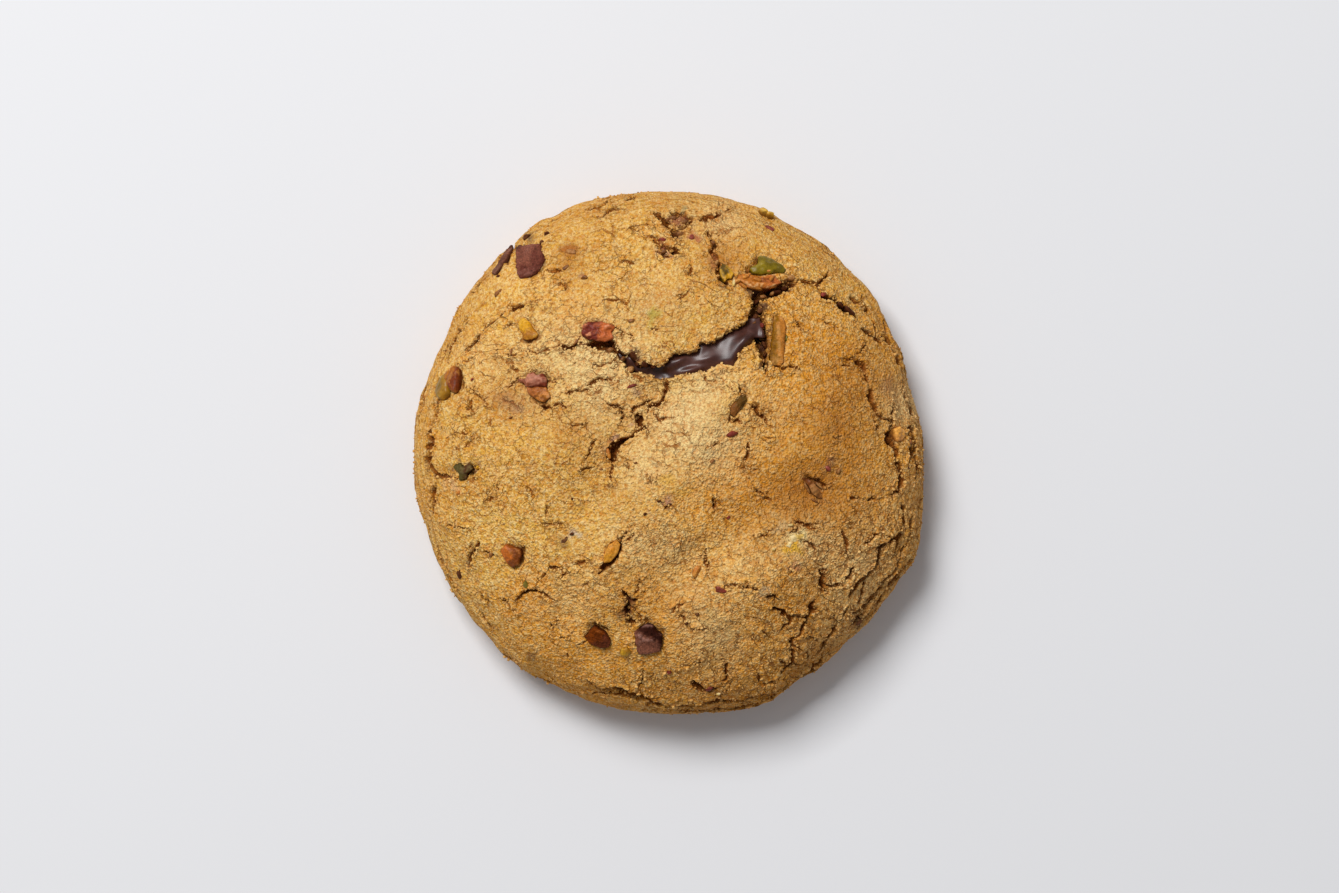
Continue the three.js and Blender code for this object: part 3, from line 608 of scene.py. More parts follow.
@dataclass(frozen=True)
class Shard:
    """Broken nut or chocolate set into the crust: its node, slot, thickness, rise, turn of its
    grain, direction in which its colour turns, direction in which the crust gapes beside it,
    colours and outline. It may be domed, wrinkled and broken by flat facets."""

    node: str
    slot: str
    thick: float
    out: float
    turn: float
    lean: float
    gape: float
    tones: Tones
    outline: Spots
    dome: float = 0.55
    wrinkle: float = 0.1
    facets: int = 4


CHUNK = "chocolate_chunk"
GREEN, OLIVE, YELLOW, ORANGE, RED_SKIN = (
    f"pistachio_{name}" for name in ("green", "olive", "yellow", "orange", "red_skin"))
SHARDS: tuple[Shard, ...] = (
    Shard("chocolate_chunk_far_left", CHUNK, 5, 0.7, 0, -60, -45,
        Tones("#7e4836", "#643226", "#96685a", "#3e1c0c"), (-29.9, 40, -29.5, 35, -28.8, 33.5, -26.6, 34,
        -25, 35.3, -23.9, 37.2, -25, 40.3), 0.2, 0.05, 1),
    Shard("chocolate_chunk_near_middle", CHUNK, 4, 0.8, 0, -120, 60,
        Tones("#34140a", "#84503c", "#b48474", "#2c1208"), (-6.8, -34.1, -6.5, -36.6, -5.9, -38.6,
        -3.8, -38.1, -1.8, -37.6, -1.4, -34.8, -2.4, -33.8, -3.3, -32.8, -4.3, -32.4, -5.6, -33.2),
        0.1, 0.12, 3),
    Shard("chocolate_chunk_near_left", CHUNK, 3.6, 0.5, 0, -50, 80,
        Tones("#743404", "#643018", "#8c4c1c", "#341404"), (-16.5, -35.2, -14.8, -36.6, -13, -37.3,
        -11.6, -37, -11.2, -36, -12.4, -34.2, -14.6, -33.1), 0.15, 0.14, 4),
    Shard("chocolate_smear_far_left", CHUNK, 2, 0.3, 52, 60, 0,
        Tones("#643c2c", "#7c4e3c", "#8e6450", "#3c1c10"), (-32.5, 38, -34.4, 34.7, -33.7, 34.3, -31.9, 37.2,
        -30.4, 39.9, -30.9, 40.5), 0.4, 0.1, 0),
    Shard("pistachio_green_half", GREEN, 3.6, 0.9, -6, 60, 170,
        Tones("#887208", "#705c02", "#d0c684", "#443602"), (15, 35.2, 16.8, 36.2, 16.9, 37.5, 17.9, 37.7,
        19.6, 37, 21.1, 36.2, 22.1, 35.4, 21.8, 34.4, 20, 34.4, 17.4, 34.1, 15.7, 34.3), 0.8, 0.05, 3),
    Shard("pistachio_broken_flesh", ORANGE, 3, 0.5, 3, 0, -95,
        Tones("#b46818", "#c06a2c", "#e6ac6c", "#5c2408"), (12.7, 33.9, 13.8, 34.1, 17, 33.5, 18.7, 33.8,
        20, 34, 20.6, 33.2, 21.3, 32.6, 20.4, 32, 19.1, 31.4, 17.4, 31.3, 15.5, 31.5, 14, 32.2, 13, 32.9),
        0.7, 0.28, 3),
    Shard("pistachio_sliver_far", YELLOW, 3, 0.4, 108, 150, 190,
        Tones("#c89010", "#5c4404", "#e0ac38", "#3c2a04"), (9.9, 36.2, 10.9, 35.7, 11.6, 34.9, 12.1, 34,
        11.6, 33.2, 10.9, 33.2, 10.4, 32.5, 9.6, 33.7, 9.4, 34.9), 0.8, 0.12, 3),
    Shard("pistachio_long_right", OLIVE, 3, 0.6, 88, -2, 190,
        Tones("#8a5a08", "#c0782c", "#e0a460", "#5a340a"), (19.8, 26.2, 20.8, 25.9, 21.8, 25.3, 22.1, 23.5,
        21.8, 21.3, 21.6, 18.6, 21.3, 16.9, 19.7, 16.7, 18.9, 17.8, 19.1, 20.1, 19.4, 22.5, 19.5, 24.5),
        0.6, 0.1, 1),
    Shard("pistachio_left_rim_green", GREEN, 2.6, 0.9, 62, -10, 180,
        Tones("#826010", "#9a6a14", "#b49040", "#54400a"), (-43.4, 10.1, -44.5, 10.4, -45, 11.8, -44.6, 13.3,
        -43.7, 14.9, -42.9, 15.3, -42.3, 13.6, -42.3, 11.4), 0.35, 0.05, 1),
    Shard("pistachio_left_rim_red", RED_SKIN, 2.4, 0.9, 62, -30, -10,
        Tones("#b06a1e", "#74300c", "#c4843c", "#5a2a08"), (-43.5, 14.8, -42.5, 16, -41.5, 16.8, -40.4, 16.4,
        -40.3, 13.9, -40.9, 11.4, -41.9, 11.8, -42.6, 13.2), 0.35, 0.1, 1),
    Shard("pistachio_red_half", RED_SKIN, 4.4, 1.2, 24, 0, -85,
        Tones("#742c1e", "#c0622e", "#d08258", "#3a0e04"), (-16.9, 22.9, -16.6, 24.2, -15.8, 24.9, -13.9, 25,
        -12.2, 24.7, -10.5, 24.3, -10.3, 23.6, -11.1, 22.9, -10.7, 21.7, -12.2, 21, -13.9, 21.3, -15.6, 21.5,
        -16.4, 21.9), 0.7, 0.3, 4),
    Shard("pistachio_left_upper_lobe", RED_SKIN, 3, 0.8, 20, 180, 40,
        Tones("#7c3620", "#8c4828", "#b4745a", "#3c1408"), (-28.9, 13.9, -27.4, 14, -27, 15.2, -25.9, 15.4,
        -25.1, 14.7, -24, 15.2, -23.2, 13.9, -23.4, 12.5, -25.5, 12.4, -27.3, 12.6), 0.5, 0.28, 4),
    Shard("pistachio_left_lower_lobe", ORANGE, 2.6, 0.6, -42, -60, -100,
        Tones("#a45c26", "#bc742c", "#dca068", "#5c280c"), (-27.3, 12.6, -25.5, 12.6, -23.4, 12.6,
        -22.7, 10.5, -23.8, 9.5, -25.3, 10.1, -26.8, 11.2), 0.6, 0.2, 4),
    Shard("pistachio_yellow_left", YELLOW, 2.8, 0.65, -56, -60, -70,
        Tones("#d09412", "#b0701c", "#e8ba50", "#7a3c12"), (-28.9, 25, -27.8, 25.8, -26.8, 25, -25.7, 23.4,
        -24.9, 22.5, -25.5, 21.9, -27, 21.5, -28.2, 21.7, -28, 22.4, -28.7, 23.6), 0.8, 0.05, 3),
    Shard("pistachio_orange_near_left", ORANGE, 3.4, 0.8, -50, -20, 0,
        Tones("#b86018", "#7c3c0a", "#d88c48", "#54240a"), (-32.4, -18.5, -31.2, -17.3, -29.7, -18,
        -28.5, -18.3, -28.4, -19.5, -28.7, -21.2, -29.7, -22, -31.2, -20.7, -31.6, -19.8), 0.5, 0.14, 4),
    Shard("pistachio_orange_middle", ORANGE, 2.6, 0.5, 72, 90, -30,
        Tones("#d08a1a", "#c47a18", "#e4a84c", "#7c4410"), (-10.1, -16.3, -9.3, -17.2, -9.9, -18.8,
        -11.2, -20.6, -12.5, -20.8, -12.5, -19.4, -11.6, -17.4), 0.5, 0.08, 2),
    Shard("pistachio_olive_strip", OLIVE, 2.4, 0.45, 54, 60, 20,
        Tones("#7e4c1e", "#543a0c", "#a0703c", "#2c1806"), (11.4, 7.2, 11.3, 8.6, 12.1, 9.6, 13.3, 10.4,
        14.3, 11, 14.4, 10.2, 13.5, 8.8, 12.7, 7.6, 12.1, 6.9), 0.8, 0.12, 2),
    Shard("pistachio_dark_left", OLIVE, 2.4, 0.25, -10, 0, 0,
        Tones("#54481e", "#4e2810", "#6c5a34", "#281204"), (-41.4, -2.6, -40.3, -1.7, -39.6, -2.7,
        -38.4, -1.9, -37.5, -3.1, -38.9, -3.9, -38.8, -4.9, -40.3, -5.2, -40.2, -3.9), 0.4, 0.24, 4),
    Shard("pistachio_right_rim", ORANGE, 2.4, 0.55, 85, -90, 190,
        Tones("#f0a848", "#e09848", "#fcc880", "#7c4414"), (43.1, 4.7, 44, 5.2, 45, 4.4, 45.1, 3.4, 44.6, 2.4,
        43.7, 2.1, 43.2, 3.4), 0.7, 0.12, 3),
    Shard("pistachio_fibrous_right", RED_SKIN, 2.4, 0.12, -50, 90, 60,
        Tones("#94602c", "#7c4418", "#b47c44", "#5c2c08"), (25, -4.6, 26, -4.7, 27.2, -5.6, 28.6, -7.4,
        29, -8.8, 28.1, -8.5, 27, -7.7, 26.3, -6.3), 0.15, 0.2, 2),
)


class LocalFrame:
    """Frame on the crust at one place: along and across the piece, and outwards."""

    def __init__(self, form: CookieForm, x: float, y: float, turn: float) -> None:
        """Stand the frame on the crust and turn it."""
        outward = form.outward(x, y)
        self.middle = form.crust_points(np.array([[x, y]]))[0]
        along = np.array([*heading(turn), 0.0])
        along -= along @ outward * outward
        along /= np.linalg.norm(along)
        self.axes = np.array([along, np.cross(outward, along), outward])

    def place(self, local: Array) -> Array:
        """Points in the cookie's frame, for points in this one."""
        return self.middle + local @ self.axes

    def local(self, points: Array) -> Array:
        """Points in this frame, for points in the cookie's."""
        return (points - self.middle) @ self.axes.T


# ---- meshes ----


def make_object(name: str, points: Array, faces: Array, shade_smooth: bool = True) -> Piece:
    """Make a mesh object in the scene.

    Args:
        name: Name of the piece.
        points: Corners in millimetres, in the cookie's frame.
        faces: Triangles or quads as rows of corner numbers.
        shade_smooth: Whether the faces are shaded as one smooth surface.

    Returns:
        The object, at the origin.
    """
    mesh = bpy.data.meshes.new(name)
    mesh.vertices.add(len(points))
    mesh.vertices.foreach_set("co", (points * MM).astype(np.float32).ravel())
    mesh.loops.add(faces.size)
    mesh.loops.foreach_set("vertex_index", faces.astype(np.int32).ravel())
    mesh.polygons.add(len(faces))
    mesh.polygons.foreach_set("loop_start", np.arange(0, faces.size, faces.shape[1], dtype=np.int32))
    mesh.polygons.foreach_set("use_smooth", np.full(len(faces), shade_smooth))
    mesh.update(calc_edges=True)
    mesh.validate()
    return in_scene(name, mesh)


def in_scene(name: str, data: bpy.types.ID) -> Piece:
    """Put a mesh, light or camera in the scene as an object."""
    piece = bpy.data.objects.new(name, data)
    bpy.context.scene.collection.objects.link(piece)
    return piece


def set_values(piece: Piece, name: str, values: Array) -> None:
    """Store one number, vector or colour for each corner of a piece under a name."""
    kinds = {1: ("FLOAT", "value"), 3: ("FLOAT_VECTOR", "vector"), 4: ("FLOAT_COLOR", "color")}
    kind, field_name = kinds[values[:1].size]
    layer = piece.data.attributes.new(name, kind, "POINT")
    layer.data.foreach_set(field_name, values.astype(np.float32).ravel())


def linear(hex_colour: str) -> tuple[float, float, float, float]:
    """Turn an sRGB hex colour into linear light."""
    parts = [int(hex_colour[i:i + 2], 16) / 255 for i in (1, 3, 5)]
    return *(p / 12.92 if p <= 0.04045 else ((p + 0.055) / 1.055) ** 2.4 for p in parts), 1.0


def mount(piece: Piece, slot: str, *nodes: str) -> Piece:
    """Let a piece ride on the cookie's body and let it stand for its solids."""
    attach(piece, BODY)
    if nodes:
        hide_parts(*nodes)
    return piece


class DiscSkin:
    """Triangles over the flat disc that the skin is laid out on."""

    def __init__(self, radius: float, rings: int) -> None:
        """Lay out rings of places: ring k holds 6k of them."""
        places = [np.zeros((1, 2))]
        faces = []
        start, total = 0, 1
        for ring in range(1, rings + 1):
            number = np.arange(6 * ring)
            angle = number / (6 * ring) * math.tau
            way = radius * ring / rings
            places.append(np.column_stack([way * np.cos(angle), way * np.sin(angle)]))
            side, k = np.divmod(number, ring)
            inner, inner_next = (start + (side * (ring - 1) + k + more) % max(1, 6 * (ring - 1))
                                 for more in (0, 1))
            start, total = total, total + 6 * ring
            outer, outer_next = start + number, start + (number + 1) % (6 * ring)
            faces.append(np.column_stack([inner, outer, outer_next]))
            faces.append(np.column_stack([inner, outer_next, inner_next])[k < ring - 1])
        self.places = np.concatenate(places)
        self.faces = np.concatenate(faces)
        self.rim = outer

    def edges(self) -> tuple[Array, Array]:
        """Edges of the triangles.

        Returns:
            The two ends of each edge, and the edge numbers of each triangle's sides.
        """
        count = len(self.places)
        ends = np.stack([self.faces, np.roll(self.faces, -1, axis=1)], axis=2).reshape(-1, 2)
        ends.sort(axis=1)
        keys, number = np.unique(ends[:, 0] * count + ends[:, 1], return_inverse=True)
        return np.column_stack([keys // count, keys % count]), number.reshape(-1, 3)

    def split(self, ends: Array, sides: Array, chosen: Array) -> None:
        """Halve chosen edges and rebuild the triangles round them.

        Args:
            ends: The two ends of each edge.
            sides: The edge numbers of each triangle's sides.
            chosen: Whether each edge is halved.
        """
        middle_of = np.full(len(ends), -1)
        middle_of[chosen] = len(self.places) + np.arange(np.count_nonzero(chosen))
        middles = self.places[ends[chosen]].mean(axis=1)
        marks = chosen[sides]
        count = marks.sum(axis=1)
        turn = np.zeros(len(self.faces), dtype=int)
        for side in (1, 2):
            turn[((count == 1) & marks[:, side]) | ((count == 2) & ~marks[:, side - 1])] = side
        order = (np.arange(3) + turn[:, None]) % 3
        a, b, c = np.take_along_axis(self.faces, order, axis=1).T
        m, n, o = middle_of[np.take_along_axis(sides, order, axis=1)].T
        self.places = np.concatenate([self.places, middles])
        self.faces = np.concatenate([np.column_stack(corners)[count == halved] for halved, *corners in (
            (0, a, b, c), (1, a, m, c), (1, m, b, c), (2, m, b, n), (2, a, m, n), (2, a, n, c),
            (3, a, m, o), (3, m, b, n), (3, o, n, c), (3, m, n, o))])


# ---- relief of the crust ----


@dataclass
class CrustRelief:
    """Everything that makes the baked crust differ from the smooth form."""

    form: CookieForm
    cracks: CrackLines
    split: Split
    low: Array
    high: Array
    inset: float = 0.12
    base_clear: float = 2.4
    # Heights and widths of the dough's lumps and knobs, and of what crumbles from it.
    lump_rise: float = 0.6
    lump_width: float = 12.0
    knob_rise: float = 0.42
    knob_width: float = 4.8
    crumb_width: float = 1.35
    clod_rise: float = 0.22
    clod_width: float = 2.7
    flake_rise: float = 0.36
    # Where the side starts and where it is full, as shares of the way down the section.
    side_start: float = 0.62
    side_full: float = 0.86
    sink_depth: float = 1.1

    def normals(self, places: Array) -> Array:
        """Outward directions of the smooth skin."""
        reach = self.form.section()[0][-1]
        way = np.linalg.norm(places, axis=1)
        held = places * np.minimum(1.0, (reach - 0.1) / np.maximum(way, 1e-9))[:, None]
        step = 0.04
        across = [self.form.skin_points(held + s) for s in ((step, 0), (-step, 0), (0, step), (0, -step))]
        normal = np.cross(across[0] - across[1], across[2] - across[3])
        return normal / np.linalg.norm(normal, axis=1)[:, None]

    def crack_field(self, points: Array, outward: Array) -> dict[str, Array]:
        """Cracks at each point, with their lines made ragged."""
        ragged = points.copy()
        for axis in range(3):
            ragged[:, axis] += 0.34 * noise(points, 1.9, 60 + axis) + 0.26 * noise(points, 0.7, 70 + axis)
        found = self.cracks.near(ragged, outward, noise(points, 1.3, 80))
        gap = self.split.beyond(ragged[:, :2]) + 0.25 * noise(points, 0.8, 84)
        found["split"] = np.where(outward[:, 2] > 0.3, smooth(-gap, -0.05, self.split.wall), 0.0)
        depth = np.where(self.split.filled(points[:, :2]), self.split.depth, self.split.arm_depth)
        found["carve"] = np.maximum(found["carve"], depth * found["split"])
        found["edge"] = np.minimum(found["edge"], np.abs(gap) - 0.3)
        return found

    def at(self, places: Array) -> tuple[Array, dict[str, Array]]:
        """Shape the crust.

        Args:
            places: Places on the flat disc.

        Returns:
            The points of the crust, and the fields that its finish reads.
        """
        points = self.form.skin_points(places)
        outward = self.normals(places)
        found = self.crack_field(points, outward)
        edge = np.maximum(found["edge"], 0)
        way = np.linalg.norm(places, axis=1)
        reach = self.form.section()[0][-1]
        side = smooth(way, reach * self.side_start, reach * self.side_full)
        base = smooth(points[:, 2], 0.1, self.base_clear)
        lumps = self.lump_rise * fractal(points, self.lump_width, 11, 2)
        lumps += self.knob_rise * fractal(points, self.knob_width, 21, 3)
        slope = smooth(0.8 * points[:, 0] - points[:, 1] + 7 * noise(points, 7.0, 39), 18, 46)
        torn = np.maximum(np.exp(-((edge / 1.5) ** 2)), slope) * (1 - 0.5 * side * (1 - slope))
        grain, clod = (
            0.45 - nearest_centre(points + wave * noise(points, width, salt)[:, None], size, salt + 2)
            for wave, width, salt, size in (
                (0.3, 1.5, 31, self.crumb_width), (0.7, 2.4, 35, self.clod_width)))
        crumb = (0.08 + 0.16 * torn) * grain + self.clod_rise * torn * clod
        flakes, flaky = self._flakes(points, way, side)
        part = flakes - np.floor(flakes)
        plates = np.sum(self.flake_rise * flaky * (part - smooth(part, 0.84, 1.0) - 0.42), axis=1)
        layers = self._layers(points, way) * side
        sink, crevice = self._settings(points)
        lip = 0.16 * np.exp(-((edge / 0.7) ** 2)) * (found["edge"] > 0)
        rise = lumps + crumb + plates + layers + lip + found["step"]
        rise = rise * (1 - sink) - self.inset
        rise += found["split"] * (0.5 * noise(points, 1.3, 90) + 0.9 * grain)
        depth = np.maximum(found["carve"], crevice) + self.sink_depth * sink
        moved = points + outward * ((rise - depth) * base)[:, None]
        return np.clip(moved, self.low, self.high), {
            # Darker colour in cracks, the split and the crevices round pieces: partly their crumb, partly
            # painted shade.
            "hollow": np.clip(np.maximum(found["carve"] / 1.5, crevice), 0, 1),
            # Low points of the crumb, plates and layers are painted darker, as shade.
            "pit": np.clip(0.5 - 2.0 * crumb - 0.8 * plates - 0.5 * layers, 0, 1),
            "flakes": flakes,
            "flaky": flaky,
            "torn": np.maximum(torn, 0.55 * smooth(noise(points, 8.0, 163), -0.3, 0.25) * (1 - side)),
            "crack": np.column_stack([found["across"], found["mouth"], np.zeros(len(points))]),
            "edge": found["edge"],
            "side": side,
            "sink": np.maximum(sink, crevice),
            "split": found["split"],
        }

    @staticmethod
    def _flakes(points: Array, way: Array, side: Array) -> tuple[Array, Array]:
        """Flakes of the dry crust, each overlapping the next.

        Args:
            points: Points of the smooth skin.
            way: How far each is from the top's middle.
            side: How far each is down the side, from 0 to 1.

        Returns:
            Three flake counts, whose whole numbers are the flakes' edges: across the top, over
            its slope on the right and round the side. Then how plain each one is there.
        """
        x, y = points[:, 0], points[:, 1]
        bowed = y - 0.012 * np.maximum(x - 8, 0) ** 2
        counts = [0.3 * bowed + 1.5 * fractal(points, 4.4, 121, 2),
                  0.27 * x + 0.1 * y + 1.4 * fractal(points, 4.0, 141, 2),
                  way / 2.1 + 0.9 * fractal(points, 7.0, 151, 2)]
        across, sloping = (smooth(noise(points, 6.0, salt), -0.35, 0.3)
                           * smooth(noise(points, 2.3, salt + 2), -0.45, 0.1) for salt in (127, 147))
        slope = smooth(x - y, 12, 40)
        masks = [across * (1 - 0.7 * slope) * (1 - side), sloping * slope * (1 - side),
                 0.8 * side * smooth(noise(points, 5.0, 157), -0.5, 0.4)]
        return np.column_stack(counts), np.column_stack(masks)

    @staticmethod
    def _layers(points: Array, way: Array) -> Array:
        """Drawn-out layers of the side, lying along the rim."""
        angle = np.arctan2(points[:, 1], points[:, 0])
        wound = np.column_stack([10 * np.cos(angle), 10 * np.sin(angle), way * 1.6])
        return 0.42 * noise(wound, 1.9, 61) + 0.2 * noise(wound * [1.5, 1.5, 2.4], 1.9, 67)

    @staticmethod
    def _settings(points: Array) -> tuple[Array, Array]:
        """How far the crust gives way to the pieces set into it, and the crevice round them, which is carved
        and also painted dark as shade.
        """
        sink, crevice = np.zeros((2, len(points)))
        ragged = points + 0.3 * np.column_stack([noise(points, 0.9, salt) for salt in (131, 132, 133)])
        gaping = smooth(noise(points, 2.2, 134), -0.4, 0.6)
        for shard in SHARDS:
            outline = pairs(shard.outline)
            middle = outline.mean(axis=0)
            near = np.flatnonzero((np.abs(points[:, :2] - middle).max(axis=1) < np.ptp(outline, axis=0).max())
                                  & (points[:, 2] > 6))
            gap = beyond(outline, ragged[near, :2])
            toward = points[near, :2] - middle
            facing = toward @ heading(shard.gape)
            facing = smooth(facing / np.maximum(np.linalg.norm(toward, axis=1), 1e-6), 0.3, 0.9)
            sink[near] = np.maximum(sink[near], smooth(-gap, -0.1, 0.35))
            open_here = 0.25 * gaping[near] + facing * (0.5 + 0.5 * gaping[near])
            groove = np.exp(-(((gap - 0.12 - 0.15 * facing) / (0.24 + 0.22 * facing)) ** 2))
            crevice[near] = np.maximum(crevice[near], open_here * groove)
        return sink, crevice


@dataclass
class Crust:
    """Baked dough: the whole outer skin of the cookie, down to the flat underside."""

    relief: CrustRelief
    rings: int = 112
    fine_edge: float = 0.2
    middle_edge: float = 0.34
    coarse_edge: float = 0.6
    wall_edge: float = 0.42
    least_excess: float = 1.45
    patch_width: float = 14.0
    stain_wave: float = 0.9
    face_budget: int = 194000
    base_rings: int = 5

    def build(self) -> Piece:
        """Make the dressed crust.

        Returns:
            The crust's object.
        """
        form = self.relief.form
        skin = DiscSkin(form.section()[0][-1], self.rings)
        self._refine(skin)
        points, fields = self.relief.at(skin.places)
        fields |= self._strewing(points, fields)
        points, faces = self._close_base(skin, points)
        crust = make_object("dough_crust", points - form.box_middle(), faces)
        # The underside, which comes last, has one value all over.
        under = {"hollow": 0.4, "pit": 0.4, "side": 1.0}
        filled = {name: np.concatenate([values, np.full((len(points) - len(values), *values.shape[1:]),
                                                        under.get(name, 0.0))])
                  for name, values in fields.items()}
        for name in ("hollow", "pit", "torn", "flakes", "flaky", "crack", "grainy", "crumbly"):
            set_values(crust, name, filled[name])
        self._paint(crust, points, filled["side"])
        crust.data.materials.append(CrustFinish().material())
        return crust

    @staticmethod
    def _strewing(points: Array, fields: dict[str, Array]) -> dict[str, Array]:
        """How thickly grains and crumbs lie on each point of the skin."""
        clear = (1 - smooth(fields["sink"], 0.05, 0.3)) * smooth(points[:, 2], 1.0, 3.0)
        by_crack = np.exp(-((fields["edge"] / 1.1) ** 2)) + 0.5 * fields["split"]
        grainy = clear * (1 - smooth(fields["hollow"], 0.15, 0.6)) * (1 - 0.7 * fields["side"])
        return {"grainy": grainy, "crumbly": clear * (0.03 + 0.4 * by_crack)}

    def _refine(self, skin: DiscSkin) -> None:
        """Split the skin's edges until cracks and their walls are drawn finely."""
        relief = self.relief
        for round_number in range(4):
            ends, sides = skin.edges()
            if round_number < 2:
                points = relief.form.skin_points(skin.places)
                edge = relief.crack_field(points, relief.normals(skin.places))["edge"]
                limits = ((0.25, self.fine_edge), (0.7, self.middle_edge))
            else:
                points, fields = relief.at(skin.places)
                edge = fields["edge"]
                limits = ((1.2, self.wall_edge),)
            gap = np.minimum(edge[ends[:, 0]], edge[ends[:, 1]])
            near, sizes = zip(*((gap < limit, size) for limit, size in limits))
            wanted = np.select(near, sizes, self.coarse_edge)
            length = np.linalg.norm(points[ends[:, 0]] - points[ends[:, 1]], axis=1)
            self._split_longest(skin, ends, sides, length / wanted)

    def _split_longest(self, skin: DiscSkin, ends: Array, sides: Array, excess: Array) -> None:
        """Split edges longer than wanted, the worst first, within the budget of faces."""
        excess[np.bincount(sides.ravel(), minlength=len(ends)) < 2] = 0
        room = max(0, self.face_budget - len(skin.faces)) // 2
        least = self.least_excess
        if np.count_nonzero(excess > least) > room:
            least = np.sort(excess)[-room - 1]
        skin.split(ends, sides, excess > least)
        LOG.info("crust: %d faces", len(skin.faces))

    def _close_base(self, skin: DiscSkin, points: Array) -> tuple[Array, Array]:
        """Close the flat underside with rings of fewer and fewer corners.

        Args:
            skin: The skin, whose rim has never been split.
            points: The skin's shaped points.

        Returns:
            All points, with the underside's last, and all faces.
        """
        ring = skin.rim
        all_points = [points]
        faces = [skin.faces]
        total = len(points)
        scale = 1.0
        for step in range(self.base_rings):
            scale *= 0.86 - 0.1 * step
            corners = points[skin.rim[:: 2 ** (step + 1)]].copy()
            corners[:, :2] *= scale
            inner = total + np.arange(len(corners))
            twice = np.arange(len(inner)) * 2
            following = np.roll(inner, -1)
            a, b, c = ring[twice], ring[twice + 1], ring[(twice + 2) % len(ring)]
            faces += [np.column_stack(f) for f in ((b, a, inner), (b, inner, following), (c, b, following))]
            corners[:, 2] = 0.05 * (1 + noise(corners, 3.0, 95)) * (step % 2)
            all_points.append(corners)
            total += len(corners)
            ring = inner
        faces.append(np.column_stack([np.roll(ring, -1), ring, np.full(len(ring), total)]))
        return np.concatenate([*all_points, [[0.0, 0.0, 0.05]]]), np.concatenate(faces)

    @staticmethod
    def _patches(points: Array, spots: Rows) -> Array:
        """Sum of soft round patches, each a middle, a size and a strength."""
        total = np.zeros(len(points))
        for x, y, size, strength in spots:
            total += strength * np.exp(-((points[:, 0] - x) ** 2 + (points[:, 1] - y) ** 2) / size**2)
        return total

    def _paint(self, crust: Piece, points: Array, side: Array) -> None:
        """Store how brown, how stained and how tinted the crust is, and where light and shade are painted
        onto its slopes.
        """
        patch = 0.5 + 0.5 * fractal(points, self.patch_width, 101, 2)
        lee = points[:, 0] - points[:, 1]
        # Besides the crust's own browning, the two lee terms are painted shade: they darken the upper-left
        # slopes, which face the lamp, and brown the lower-right ones, which face away from it.
        toast_and_shade = 0.2 * patch + 0.22 * side + 0.06 * smooth(-lee, 10, 50) + 0.08 * smooth(lee, 5, 35)
        toast_and_shade += self._patches(points, BROWNED) + 0.6 * smooth(-points[:, 2], -1.2, -0.1)
        set_values(crust, "toast_and_shade", np.clip(toast_and_shade, 0, 1))
        # Pale and honey colour are partly painted light: besides the crust's own paler and golden patches,
        # they brighten the lower-right slopes and rim, which face away from the lamp.
        for name, share in (("pale", self._patches(points, PALE_AND_PAINTED_LIGHT)),
                            ("honey_and_painted_light", 0.65 * smooth(lee, -15, 35) + self._patches(points, HONEY_AND_PAINTED_LIGHT))):
            set_values(crust, name, np.clip(share * (0.75 + 0.5 * patch), 0, 1) * (points[:, 2] > 3))
        wave = np.column_stack([noise(points, 1.4, 111), noise(points, 1.4, 112)])
        ragged = points[:, :2] + self.stain_wave * wave
        stain = np.zeros(len(points))
        for x, y, size, strength in STAINS:
            gap = np.hypot(ragged[:, 0] - x, ragged[:, 1] - y)
            stain = np.maximum(stain, strength * (1 - smooth(gap, size * 0.4, size)))
        set_values(crust, "stain", stain * smooth(points[:, 2], 9, 12))
        tint = np.zeros((len(points), 4))
        for *oval, colour, strength in TINTS:
            share = strength * (1 - smooth(np.hypot(*in_oval(*ragged.T, oval)), 0.35, 1.0))
            stronger = (share > tint[:, 3]) & (points[:, 2] > 11)
            tint[stronger, :3] = linear(colour)[:3]
            tint[stronger, 3] = share[stronger]
        set_values(crust, "tint", tint)


# Browner patches of the crust: middle, size and strength.
BROWNED: Rows = (
    (31, 7, 7, 0.5), (41, 13, 4.5, 0.3), (34, 18, 7, 0.35), (-27, 11, 5.5, 0.3), (27, -7, 6, 0.5),
    (19, -9, 7, 0.35), (-33, 10, 3.5, 0.25), (12, 36, 6, 0.35), (-19.3, 38.5, 2, 0.5), (-20, 35.5, 2, 0.35),
    (2, 44, 4, 0.3), (20, 21, 4, 0.25), (18, 9, 4, 0.2), (-18, 2, 6, 0.22), (-8, 9, 4, 0.15),
    (27, 2, 8, 0.15), (36, -9, 6, 0.3), (27, -9, 6, 0.12), (-27, -36, 6, 0.15), (9, 37, 3.5, 0.35),
    (36, 1, 5, 0.12), (-9, -26, 5, 0.25), (9, -45, 5, 0.2), (-9, -8, 5, 0.1), (0, -27, 4, 0.15),
    (0, -45, 3, 0.2), (27, -27, 3, 0.1), (27, -27, 4, 0.12), (27, -36, 4, 0.18), (-18, 27, 5, 0.12),
    (-27, -27, 4, 0.12), (9, -9, 4, 0.12), (18, -18, 4, 0.15), (-18, -18, 4, 0.15), (-18, 36, 5, 0.14),
    (0, 27, 6, 0.12), (-9, -9, 4, 0.12), (9, 9, 4, 0.12), (-18, -36, 5, 0.1), (27, 18, 4, 0.1),
    (-9, 27, 5, 0.1),
)
